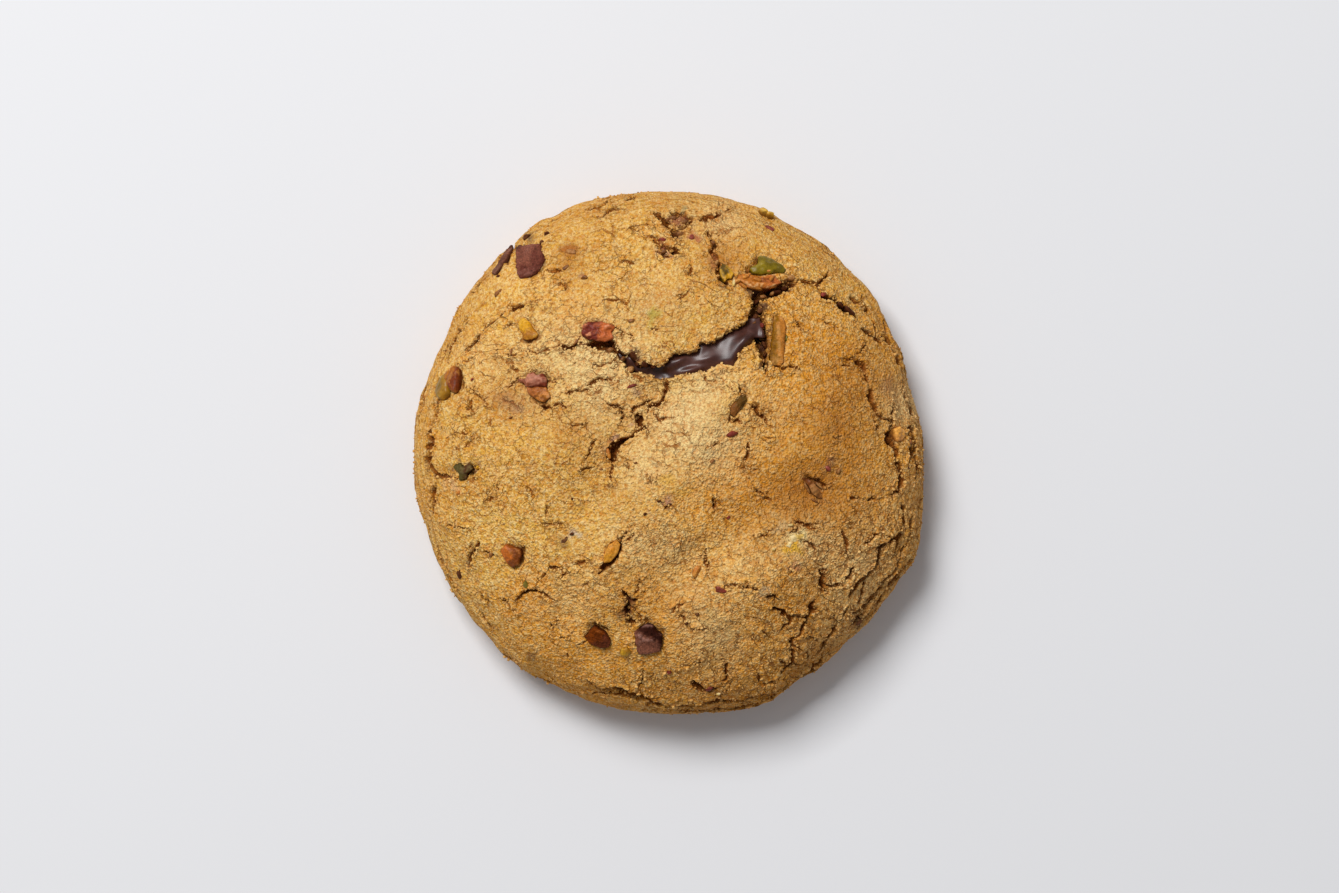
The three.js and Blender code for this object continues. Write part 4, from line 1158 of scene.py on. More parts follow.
# Paler patches: partly crust that browned less, partly painted light on the lower-right rim, which faces away
# from the lamp.
PALE_AND_PAINTED_LIGHT: Rows = (
    (1, 6, 6, 0.85), (7, 13, 5, 0.7), (-5, -3, 5, 0.6), (14, -22, 6, 0.5), (9, -32, 6, 0.3),
    (-13, 10, 6, 0.3), (-3, 30, 9, 0.15), (-12, 15, 9, 0.25), (22, -15, 4, 0.35), (27, -18, 5, 0.75),
    (-22, 24, 6, 0.2), (4, -28, 5, 0.2), (-27, 17, 6, 0.4), (-37, 18, 5, 0.3), (10, 2, 6, 0.5),
    (10, 44, 4, 0.2), (37, -21, 8, 0.4), (35, -30, 7, 0.35), (46, -8, 6, 0.3), (46, 9, 5, 0.5),
    (27, -37, 7, 0.25), (6, -38, 9, 0.2), (-14, 18, 9, 0.5), (38, -19, 6, 0.3), (0, -18, 6, 0.5),
    (-9, -18, 5, 0.35), (-18, -27, 6, 0.4), (9, -36, 4.5, 0.4), (45, 11, 4, 0.4), (6, -1, 6, 0.4),
    (-8, -17, 5, 0.2), (2, 45, 5, 0.2), (10, 45, 4, 0.55), (-9, 18, 4.5, 0.5), (-18, 18, 5, 0.3),
    (9, 18, 4, 0.4), (44, 9, 4, 0.3), (18, 9, 5, 0.3), (-27, 10, 4, 0.4),
)
# Golden patches, brighter than the rest: partly the crust's own colour, partly painted light on slopes that
# face away from the lamp.
HONEY_AND_PAINTED_LIGHT: Rows = (
    (38, -20, 7, 0.5), (30, -32, 8, 0.65), (18, -38, 8, 0.6), (5, -36, 9, 0.6), (45, 0, 6, 0.3),
    (-24, -34, 9, 0.3), (22, 27, 7, 0.3), (10, 44, 5, 0.4), (12, 34, 5, 0.2), (4, -9, 5, 0.3),
    (29, 17, 7, 0.2), (-37, 20, 5, 0.3), (18, -5, 8, 0.3), (19, 33, 5, 0.4), (36, -25, 5, 0.4),
    (40.5, -21.5, 3.5, 0.4), (28, -17, 4, 0.3), (27, 19, 8, 0.7), (18, 13, 6, 0.5), (10, -2, 6, 0.6),
    (-27, -28, 6, 0.5), (-19, -37, 5, 0.3), (-18, 27, 6, 0.25), (36, -18, 5, 0.3), (10, -9, 4, 0.2),
    (9, -36, 5, 0.5), (36, -27, 5, 0.4), (-4, -17, 6, 0.3), (27, -19, 5, 0.4), (-8, 9, 4, 0.3),
    (-16, -27, 6, 0.3), (-46, -9, 4, 0.5), (-46, 3, 3, 0.3), (27, 18, 5, 0.4), (9, 0, 4, 0.4),
    (-9, 9, 4, 0.25), (10, -9, 5, 0.3), (27, -27, 4, 0.3), (36, -22, 5, 0.35), (13, -36, 6, 0.35),
    (18, 9, 4, 0.3), (9, 0, 3, 0.2), (36, -27, 5, 0.5), (37, -18, 4, 0.4), (27, 18, 5, 0.3), (0, 9, 4, 0.3),
    (-18, 27, 4, 0.3), (18, -27, 4, 0.3), (-27, -27, 4, 0.4), (9, 0, 4, 0.4), (9, -9, 4, 0.25),
    (-18, -36, 4, 0.3), (27, -36, 4, 0.3), (9, -36, 4, 0.35), (45, -9, 3, 0.3), (-27, 36, 4, 0.3),
    (9, 18, 4, 0.15),
)
# Chocolate smeared into the crust: middle, size and strength.
STAINS: Rows = (
    (-8.5, -30.5, 1.9, 0.65), (-7.6, -28, 1.2, 0.6), (-27, 41.6, 1.6, 0.8), (-24.4, 36, 1.1, 0.7),
    (-20.3, -16.8, 1.3, 0.55), (-26.5, -39, 1.4, 0.6), (18.6, 23.6, 1.1, 0.9), (-6.9, 18, 1.7, 0.9),
    (16, 31, 1.8, 0.9), (19, 31, 1.8, 0.9), (22, 31.9, 1.3, 0.8), (17.6, 27.6, 1.5, 0.9), (18, 20, 1.2, 0.9),
    (17.8, 16.4, 1.2, 0.9), (-11.4, 19.6, 1, 0.5), (2.6, 18.4, 1, 0.5), (36.5, -32.6, 1.7, 0.7),
    (-38.6, -21.4, 1.1, 0.5), (10.2, 31.6, 1.4, 0.5), (12.5, 14.6, 0.8, 0.25),
)
# Coloured patches where a nut lies just under the crust: oval, colour and strength.
TINTS: tuple[tuple[float | str, ...], ...] = (
    (-31.5, 10.2, 3.8, 2, -10, "#a8744c", 0.45), (-29.2, 8.3, 1.6, 1.3, 0, "#9a6654", 0.4),
    (8.2, 36.3, 2, 1.3, 100, "#a8683c", 0.75), (41.5, 13, 1.6, 2.4, 0, "#946248", 0.35),
    (-3.2, 26, 2.8, 1.6, 75, "#aca244", 0.6), (24, -16, 3.2, 1.8, 10, "#f0d694", 0.85),
    (23.2, -18.1, 2.8, 1.2, 0, "#ecb42c", 0.85), (2, -7, 2.6, 1.8, 0, "#d6a032", 0.4),
    (15.3, -23.6, 2.4, 1.4, 0, "#e09c38", 0.5), (-19.2, 38.8, 2, 1.1, -25, "#a8602a", 0.75),
    (-16.6, 33.3, 1.4, 0.8, -15, "#a87058", 0.7), (-20.2, 35.6, 1.1, 0.8, 40, "#b0783c", 0.5),
    (21, -13.8, 2.4, 1, 10, "#c9b284", 0.5), (-1.5, 40, 2.2, 1.2, -30, "#a4582c", 0.7),
    (4.5, 41.4, 2, 1.3, 0, "#a85840", 0.75), (2, 44.6, 2.6, 1.3, -15, "#8e5240", 0.75),
    (1.4, 42, 1.6, 1, -40, "#7c4a38", 0.6), (7.8, 45.2, 2.4, 0.8, 12, "#a8561c", 0.6),
    (-1, 37.9, 2, 0.9, 0, "#c88e74", 0.5), (2.2, 46.6, 1.3, 0.7, 10, "#a89a6a", 0.6),
    (-7, 5.1, 0.9, 0.6, 0, "#b08070", 0.6), (-12, 1.5, 2.6, 1.6, 60, "#b07a50", 0.4),
    (-41.8, -3.4, 1.3, 0.8, -20, "#7c4a34", 0.7), (-36.6, -2.8, 1.4, 0.9, 0, "#7a5244", 0.6),
    (-41.6, -6.2, 2.4, 1.4, -40, "#f0ba80", 0.6), (-18, -15.7, 1.5, 0.8, 20, "#d0c0aa", 0.65),
    (-12.4, -17.6, 2.2, 1.3, 50, "#e0a038", 0.5), (-0.5, -5.3, 2.4, 1.4, 0, "#dca83c", 0.5),
    (7.6, 7.9, 1.2, 0.5, 0, "#c07a38", 0.5), (23.2, -21.6, 2, 1, -10, "#a86c50", 0.55),
    (27.6, -6.6, 2.6, 1.5, -50, "#b47844", 0.6), (18.2, -25.8, 1.8, 1.1, 0, "#a89a84", 0.5),
    (30, -3, 1.3, 1.1, 0, "#94604c", 0.6), (-6.6, 11.5, 1.7, 1.1, -10, "#c09870", 0.8),
    (-10.7, 3, 1.4, 1, 30, "#a9746a", 0.6), (-0.5, -8.8, 1.4, 0.9, 30, "#a0706c", 0.55),
    (-3.5, -12, 1.2, 0.8, 0, "#8f6a70", 0.3), (-26, -2, 1.4, 1, 0, "#a56a50", 0.3),
    (14.5, -43.5, 2.4, 1.2, 0, "#c08a3a", 0.4), (-40.5, -7.8, 1.6, 1, 0, "#c97f3c", 0.5),
    (30, -1.5, 1.6, 1.2, 40, "#8f5a48", 0.45), (17, -27, 2, 1.2, 0, "#8d7a66", 0.4),
    (7.5, -31, 3, 1.6, 20, "#c8a868", 0.35),
)


# ---- finishes ----


# Blender's names for the types of node that are used more than once.
NOISE, VORONOI, RANGE, MIX, MATH, VECTOR, COLOURS, PARTS, VALUES, BUMP = (f"ShaderNode{kind}" for kind in (
    "TexNoise", "TexVoronoi", "MapRange", "Mix", "Math", "VectorMath", "SeparateColor", "SeparateXYZ",
    "Attribute", "Bump"))
RANDOM = "FunctionNodeRandomValue"


def add_node(tree: Tree, kind: str, links: dict | tuple = (), **settings: object) -> Outputs:
    """Add a node with its settings, its socket values and its links.

    Args:
        tree: Tree that takes the node.
        kind: Blender's name for the type of node.
        links: Values of its inputs, or the sockets that feed them, in turn or by name or number.
        settings: Values of the node's own properties.

    Returns:
        The node's outputs.
    """
    node = tree.nodes.new(kind)
    for name, value in settings.items():
        setattr(node, name, value)
    for key, value in links.items() if isinstance(links, dict) else enumerate(links):
        if isinstance(value, Socket):
            tree.links.new(value, node.inputs[key])
        else:
            node.inputs[key].default_value = value
    return node.outputs


def per_mm(size: float) -> float:
    """Pattern scale whose features are as wide as a size in millimetres."""
    return 1.0 / (size * MM)


def new_material(name: str) -> tuple[bpy.types.Material, Tree, Socket]:
    """Start a material named for the real surface: itself, its emptied tree and object coordinates."""
    material = bpy.data.materials.new(name)
    material.use_nodes = True
    tree = material.node_tree
    tree.nodes.clear()
    return material, tree, add_node(tree, "ShaderNodeTexCoord")["Object"]


def finish_material(tree: Tree, links: dict) -> None:
    """Close a material with its surface shader."""
    shader = add_node(tree, "ShaderNodeBsdfPrincipled", links)
    add_node(tree, "ShaderNodeOutputMaterial", {"Surface": shader["BSDF"]})


def layered(tree: Tree, colour: object, layers: tuple) -> Socket:
    """Lay colours over one another.

    Args:
        tree: The material's tree.
        colour: Linear colour of the lowest layer.
        layers: For each layer its source, the source's values where it starts and where it is
            full, its greatest share, and its colour.

    Returns:
        The colour of them all.
    """
    for source, low, high, most, layer in layers:
        share = add_node(tree, RANGE, (source, low, high, 0.0, most))[0]
        colour = add_node(tree, MIX, {0: share, 6: colour, 7: linear(layer)}, data_type="RGBA")[2]
    return colour


@dataclass(frozen=True)
class CrustFinish:
    """Cookie dough baked from brown sugar, butter and flour, dry and unglazed.

    Sugar and flour grains of about half a millimetre give it a sandy face. Its flakes end in
    thin orange-brown lines, and it browns where it stands out and down its side. Shade is painted
    dark into its cracks, split, crevices and low points, and light onto its lower-right slopes.
    """

    golden: str = "#edba54"
    brown: str = "#cf8a2c"
    yellow: str = "#efb838"
    tan: str = "#e2b46e"
    pale: str = "#fee3a0"
    # Golden colour, also painted as light on the lower-right slopes.
    honey_and_painted_light: str = "#fcac30"
    orange: str = "#cb741e"
    cream: str = "#feeec4"
    # Colour of the gaps between grains, also used as painted shade in the low points.
    gap: str = "#a45c12"
    toasted: str = "#ac661c"
    line: str = "#96500f"
    # Colour of cracks, the split and crevices: partly the inner crumb, partly painted shade.
    inside: str = "#7e4412"
    stain: str = "#523128"
    patch_width: float = 6.5
    hue_width: float = 2.6
    crumb_width: float = 2.3
    crumb_wave: float = 1.4
    crumb_shift: float = 2.6
    grain_width: float = 0.46
    bubble_width: float = 0.85
    speck_width: float = 0.36
    line_wave: float = 0.9
    line_wander: float = 0.5
    relief: float = 0.22
    roughness: float = 0.85

    def material(self) -> bpy.types.Material:
        """Make the material, layer over layer, with its fine relief."""
        material, tree, place = new_material("baked_brown_sugar_dough")
        aside = add_node(tree, "ShaderNodeMapping", {"Vector": place, "Location": (0.37, 0.21, 0.53)})[0]
        patch, fleck, hue, bubble, speck = (
            add_node(tree, NOISE, {"Vector": vector, "Scale": per_mm(size), "Detail": detail,
                                   "Roughness": 0.64})[0]
            for vector, size, detail in (
                (place, self.patch_width, 4.0), (place, self.hue_width, 3.0), (aside, self.hue_width, 3.0),
                (place, self.bubble_width, 1.0), (place, self.speck_width, 2.0)))
        grain = add_node(tree, VORONOI, {"Vector": place, "Scale": per_mm(self.grain_width)})
        own = add_node(tree, COLOURS, (grain["Color"],))
        painted = {name: add_node(tree, VALUES, attribute_name=name) for name in (
            "hollow", "pit", "toast_and_shade", "pale", "honey_and_painted_light", "stain", "tint", "flakes", "flaky", "crack", "torn")}
        lines = self._flake_lines(tree, place, painted)
        cracks = self._crack_lines(tree, speck, painted["crack"]["Vector"])
        shade, grooves = self._crumbs(tree, place, painted["torn"]["Fac"])
        colour = layered(tree, linear(self.golden), (
            (patch, 0.48, 0.66, 0.55, self.brown), (fleck, 0.54, 0.7, 0.6, self.yellow),
            (hue, 0.54, 0.68, 0.55, self.tan), (hue, 0.46, 0.34, 0.4, self.brown),
            # Honey and pale layers are partly painted light on the slopes that face away from the lamp.
            (painted["honey_and_painted_light"]["Fac"], 0.0, 1.0, 0.9, self.honey_and_painted_light),
            (painted["pale"]["Fac"], 0.0, 1.0, 0.85, self.pale),
            (shade, 0.1, 0.9, 0.6, self.brown), (shade, -0.1, -0.9, 0.35, self.honey_and_painted_light),
            # Bubbles, specks and grain edges are paler where the fine relief rises and darker where it sinks:
            # partly the crust's grain, partly painted light and shade.
            (bubble, 0.52, 0.66, 0.5, self.pale), (bubble, 0.46, 0.32, 0.45, self.orange),
            (own[0], 0.45, 0.95, 0.45, self.pale), (own[1], 0.75, 0.95, 0.4, self.orange),
            (speck, 0.57, 0.7, 0.4, self.cream), (speck, 0.45, 0.31, 0.48, self.gap),
            (grain["Distance"], 0.5, 0.85, 0.32, self.gap),
            # Browning, with painted shade on the upper-left and lower-right slopes.
            (painted["toast_and_shade"]["Fac"], 0.0, 1.0, 0.88, self.toasted),
            # Painted shade in the low points of the relief, then the gaps between crumbs.
            (painted["pit"]["Fac"], 0.55, 1.0, 0.5, self.gap), (grooves, 0.0, 1.0, 0.75, self.line),
            (lines, 0.0, 1.0, 0.8, self.line), (cracks, 0.0, 1.0, 0.85, self.line),
            # Painted shade in cracks, the split and the crevices round pieces.
            (painted["hollow"]["Fac"], 0.25, 0.9, 0.88, self.inside),
            (painted["stain"]["Fac"], 0.0, 1.0, 0.9, self.stain)))
        tint = painted["tint"]
        colour = add_node(tree, MIX, {0: tint["Alpha"], 6: colour, 7: tint["Color"]}, data_type="RGBA")[2]
        height = add_node(tree, MATH, (speck, grain["Distance"]), operation="SUBTRACT")[0]
        for groove, deep in ((bubble, 1.8), (lines, -1.1), (grooves, -1.3), (cracks, -0.7)):
            height = add_node(tree, MATH, (groove, deep, height), operation="MULTIPLY_ADD")[0]
        bump = add_node(tree, BUMP, {"Height": height, "Distance": self.relief * MM})[0]
        finish_material(tree, {"Base Color": colour, "Roughness": self.roughness, "Specular IOR Level": 0.12,
                               "Normal": bump})
        return material

    def _flake_lines(self, tree: Tree, place: Socket, painted: dict[str, Outputs]) -> Socket:
        """Thin cracks at the flakes' edges, finer than the mesh.

        Args:
            tree: The material's tree.
            place: Object coordinates.
            painted: Outputs of the crust's own values, by name.

        Returns:
            How deep in such a crack each place is, from 0 to 1.
        """
        wander = add_node(tree, NOISE, {
            "Vector": place, "Scale": per_mm(self.line_wave), "Roughness": 0.6})[0]
        counts, plain = (add_node(tree, PARTS, (painted[name]["Vector"],)) for name in ("flakes", "flaky"))
        deepest = None
        for count, share in zip(counts, plain):
            moved = add_node(tree, MATH, (wander, self.line_wander, count), operation="MULTIPLY_ADD")[0]
            part = add_node(tree, MATH, (moved,), operation="FRACT")[0]
            line = add_node(tree, RANGE, (part, 0.86, 0.97), interpolation_type="SMOOTHSTEP")[0]
            line = add_node(tree, MATH, (line, share), operation="MULTIPLY")[0]
            if deepest is not None:
                line = add_node(tree, MATH, (line, deepest), operation="MAXIMUM")[0]
            deepest = line
        return deepest

    @staticmethod
    def _crack_lines(tree: Tree, speck: Socket, crack: Socket) -> Socket:
        """Cracks drawn from the distance to their lines, so that they stay thin and unbroken.

        Args:
            tree: The material's tree.
            speck: Fine noise that roughens their edges.
            crack: Distance across the line, and half the mouth's width, in millimetres.

        Returns:
            How deep in a crack each place is, from 0 to 1.
        """
        across, mouth, _ = add_node(tree, PARTS, (crack,))
        gap = add_node(tree, MATH, (across,), operation="ABSOLUTE")[0]
        gap = add_node(tree, MATH, (speck, 0.3, gap), operation="MULTIPLY_ADD")[0]
        lip = add_node(tree, MATH, (mouth, 1.2, 0.13), operation="MULTIPLY_ADD")[0]
        within = add_node(tree, MATH, (lip, gap), operation="SUBTRACT")[0]
        deep, near = (add_node(tree, RANGE, {"Value": value, "From Max": full})[0]
                      for value, full in ((within, 0.16), (mouth, 0.12)))
        return add_node(tree, MATH, (deep, near), operation="MULTIPLY")[0]

    def _crumbs(self, tree: Tree, place: Socket, torn: Socket) -> tuple[Socket, Socket]:
        """Crumbs of torn crust, each its own shade, with thin gaps between them.

        Args:
            tree: The material's tree.
            place: Object coordinates.
            torn: How torn the crust is, from 0 to 1.

        Returns:
            The shade of each crumb, from -1 to 1, and how deep in a gap each place is.
        """
        wave = add_node(tree, NOISE, {"Vector": place, "Scale": per_mm(self.crumb_wave), "Detail": 3.0,
                                      "Roughness": 0.6})
        aside = add_node(tree, VECTOR, (wave["Color"], (0.5, 0.5, 0.5)), operation="SUBTRACT")[0]
        aside = add_node(tree, VECTOR, {0: aside, "Scale": self.crumb_shift * MM}, operation="SCALE")[0]
        moved = add_node(tree, VECTOR, (place, aside), operation="ADD")[0]
        near, edge = (add_node(tree, VORONOI, {"Vector": moved, "Scale": per_mm(self.crumb_width)},
                               feature=feature) for feature in ("F1", "DISTANCE_TO_EDGE"))
        own = add_node(tree, COLOURS, (near["Color"],))[0]
        shade = add_node(tree, RANGE, {"Value": own, "To Min": -1.0})[0]
        gap = add_node(tree, RANGE, (edge["Distance"], 0.06, 0.0))[0]
        where = add_node(tree, RANGE, (wave["Fac"], 0.42, 0.52))[0]
        gap = add_node(tree, MATH, (gap, where), operation="MULTIPLY")[0]
        shade, gap = (add_node(tree, MATH, (value, torn), operation="MULTIPLY")[0] for value in (shade, gap))
        return shade, gap


@dataclass(frozen=True)
class GrainFinish:
    """Sugar and flour grains and crumbs broken from the crust, each its own shade.

    They take on the brown or pale tone of the crust that they lie on, with the light and shade painted into
    it.
    """

    name: str
    dark: str
    light: str
    toasted: str = "#a2601f"
    pale: str = "#f4d698"
    mottle_width: float = 0.5
    roughness: float = 0.55

    def material(self) -> bpy.types.Material:
        """Make the material, whose shade follows the grain's own number."""
        material, tree, place = new_material(self.name)
        shade, toast_and_shade, pale = (add_node(tree, VALUES, attribute_name=name)["Fac"]
                              for name in ("shade", "toast_and_shade", "pale"))
        mottle = add_node(tree, NOISE, {"Vector": place, "Scale": per_mm(self.mottle_width)})[0]
        both = add_node(tree, MATH, (shade, mottle), operation="ADD")[0]
        colour = layered(tree, linear(self.dark), (
            (both, 0.3, 1.4, 1.0, self.light), (pale, 0.0, 1.0, 0.6, self.pale),
            (toast_and_shade, 0.0, 1.0, 0.8, self.toasted)))
        finish_material(tree, {"Base Color": colour, "Roughness": self.roughness, "Specular IOR Level": 0.35})
        return material


@dataclass(frozen=True)
class BrokenFinish:
    """Broken nut or chocolate, whose colours are painted on its corners.

    A roasted kernel is waxy, so it catches a soft light; its papery skin is duller and drawn
    into fine threads; broken chocolate is dull and crumbly, and melted chocolate glossy.
    """

    name: str
    roughness: float
    relief: float
    contrast: float = 0.35
    speck_width: float = 0.35
    coat: float = 0.0
    shine: float = 0.25

    def material(self) -> bpy.types.Material:
        """Make the material, speckled over the painted tone."""
        material, tree, place = new_material(self.name)
        tone = add_node(tree, VALUES, attribute_name="tone")["Color"]
        speck = add_node(tree, NOISE, {"Vector": place, "Scale": per_mm(self.speck_width), "Detail": 3.0,
                                       "Roughness": 0.65})[0]
        value = add_node(tree, RANGE, (speck, 0.3, 0.7, 1 - self.contrast, 1 + self.contrast))[0]
        colour = add_node(tree, "ShaderNodeHueSaturation", {"Value": value, "Color": tone})["Color"]
        bump = add_node(tree, BUMP, {"Height": speck, "Distance": self.relief * MM, "Strength": 0.9})[0]
        finish_material(tree, {
            "Base Color": colour, "Roughness": self.roughness, "Specular IOR Level": self.shine,
            "Coat Weight": self.coat, "Coat Roughness": 0.24, "Normal": bump})
        return material


# Finish of the broken pieces in each slot, and of the chocolate that melted.
BROKEN_FINISHES: dict[str, BrokenFinish] = {
    GREEN: BrokenFinish("roasted_pistachio_green", 0.42, 0.05, 0.2, 0.5, 0.1),
    OLIVE: BrokenFinish("roasted_pistachio_olive", 0.46, 0.1, shine=0.1),
    YELLOW: BrokenFinish("roasted_pistachio_yellow", 0.42, 0.1, 0.3),
    ORANGE: BrokenFinish("roasted_pistachio_orange", 0.42, 0.12),
    RED_SKIN: BrokenFinish("pistachio_red_papery_skin", 0.46, 0.12, 0.3, 0.4, 0.05, 0.16),
    CHUNK: BrokenFinish("broken_dark_chocolate", 0.6, 0.2, 0.55, 0.3, shine=0.06),
}
MELTED = BrokenFinish("melted_dark_chocolate", 0.4, 0.01, 0.15, 0.6, 0.15, 0.45)


@dataclass(frozen=True)
class FloorFinish:
    """Matt white card, pale, with the faint unevenness of its fibres."""

    colour: str = "#e9e9eb"
    shade: str = "#dcdcdf"

    def material(self) -> bpy.types.Material:
        """Make the material."""
        material, tree, place = new_material("matt_white_card")
        tone = add_node(tree, NOISE, {"Vector": place, "Scale": 6.0})[0]
        colour = layered(tree, linear(self.colour), ((tone, 0.0, 1.0, 0.12, self.shade),))
        finish_material(tree, {"Base Color": colour, "Roughness": 0.9, "Specular IOR Level": 0.2})
        return material


# ---- chocolate and nuts ----


@dataclass
class Shards:
    """The pieces of nut and chocolate set into the crust."""

    form: CookieForm
    steps: int = 96
    rings: int = 18
    walls: int = 6
    rounding: int = 2
    tuck: float = 0.15
    edge_wave: float = 0.06
    skin_wave: float = 0.08

    def build(self) -> list[Piece]:
        """Make each piece and let it stand for its solid."""
        finishes = {slot: finish.material() for slot, finish in BROKEN_FINISHES.items()}
        pieces = []
        for index, shard in enumerate(SHARDS):
            seed = 300 + 7 * index
            frame, local, faces = self._shape(shard, seed)
            name = shard.node.replace("pistachio_", "kernel_").replace("chocolate_", "dark_")
            piece = make_object(name, frame.place(local) - self.form.box_middle(), faces)
            # Corners below the crust's level take the dark edge colour as painted shade.
            depth = np.clip(-0.05 - local[:, 2], 0, 0.7) / 0.7
            lean = math.radians(shard.lean - shard.turn)
            streaks = min(1.0, 0.15 + 3.5 * shard.wrinkle)
            set_values(piece, "tone", shard.tones.paint(local, depth, lean, seed, streaks))
            piece.data.materials.append(finishes[shard.slot])
            pieces.append(mount(piece, shard.slot, shard.node))
        return pieces

    def _shape(self, shard: Shard, seed: int) -> tuple[LocalFrame, Array, Array]:
        """Shape a piece: walls down from its outline, and a domed, faceted and wrinkled top.

        Args:
            shard: The piece.
            seed: Pattern number.

        Returns:
            The piece's frame, its corners in that frame, and its triangles.
        """
        outline = pairs(shard.outline)
        frame = LocalFrame(self.form, *outline.mean(axis=0), shard.turn)
        around = frame.local(self.form.crust_points(self._spread(outline)))
        for _ in range(self.rounding):
            around = (np.roll(around, 1, axis=0) + 2 * around + np.roll(around, -1, axis=0)) / 4
        around = around * (1 + self.edge_wave * noise(around, 0.9, seed + 9))[:, None]
        rows = []
        for share in np.linspace(0, 1, self.walls, endpoint=False):
            level = (shard.out - shard.thick) * (1 - share)
            rows.append(around * (1 - self.tuck * (1 - share)) + [0, 0, level])
        for share in np.linspace(1, 0, self.rings, endpoint=False):
            lift = shard.out * (1 - shard.dome * share**2 - (1 - shard.dome) * share**12)
            rows.append(around * share + [0, 0, lift])
        points = np.concatenate([*rows, [[0.0, 0.0, shard.out], [0.0, 0.0, shard.out - shard.thick]]])
        on_top = np.ones(len(points))
        on_top[:self.walls * self.steps] = 0
        on_top[-1] = 0
        rng = np.random.default_rng(seed)
        for _ in range(shard.facets):
            turn = rng.uniform(0, math.tau)
            way = points[:, :2] @ [math.cos(turn), math.sin(turn)]
            plane = shard.out * rng.uniform(0.6, 1.0) - rng.uniform(0.1, 0.35) * (way - 0.15 * np.ptp(way))
            points[:, 2] -= on_top * 0.9 * np.maximum(points[:, 2] - plane, 0)
        ridge = noise(points * [0.4, 0.9, 0.9], 0.9, seed + 1)
        points[:, 2] += on_top * shard.wrinkle * (1.3 * ridge + 0.4 * noise(points, 0.45, seed + 2))
        for axis in range(3):
            points[:, axis] += self.skin_wave * noise(points, 0.7, seed + 3 + axis)
        return frame, points, self._faces(len(rows), len(points))

    def _spread(self, outline: Array) -> Array:
        """Even steps round an outline, taken so that the piece's walls face outwards."""
        following = np.roll(outline, -1, axis=0)
        if np.sum(outline[:, 0] * following[:, 1] - outline[:, 1] * following[:, 0]) < 0:
            outline = outline[::-1]
        closed = np.vstack([outline, outline[:1]])
        reached = np.concatenate([[0], np.cumsum(np.linalg.norm(np.diff(closed, axis=0), axis=1))])
        places = np.linspace(0, reached[-1], self.steps, endpoint=False)
        return np.column_stack([np.interp(places, reached, closed[:, axis]) for axis in range(2)])

    def _faces(self, rows: int, total: int) -> Array:
        """Triangles between rings of corners, closed by one corner at each end."""
        near = np.arange(self.steps)
        following = (near + 1) % self.steps
        faces = []
        for low in range(0, (rows - 1) * self.steps, self.steps):
            high = low + self.steps
            faces.append(np.column_stack([low + near, low + following, high + following]))
            faces.append(np.column_stack([low + near, high + following, high + near]))
        last = (rows - 1) * self.steps
        faces.append(np.column_stack([last + near, last + following, np.full(self.steps, total - 2)]))
        faces.append(np.column_stack([following, near, np.full(self.steps, total - 1)]))
        return np.concatenate(faces)


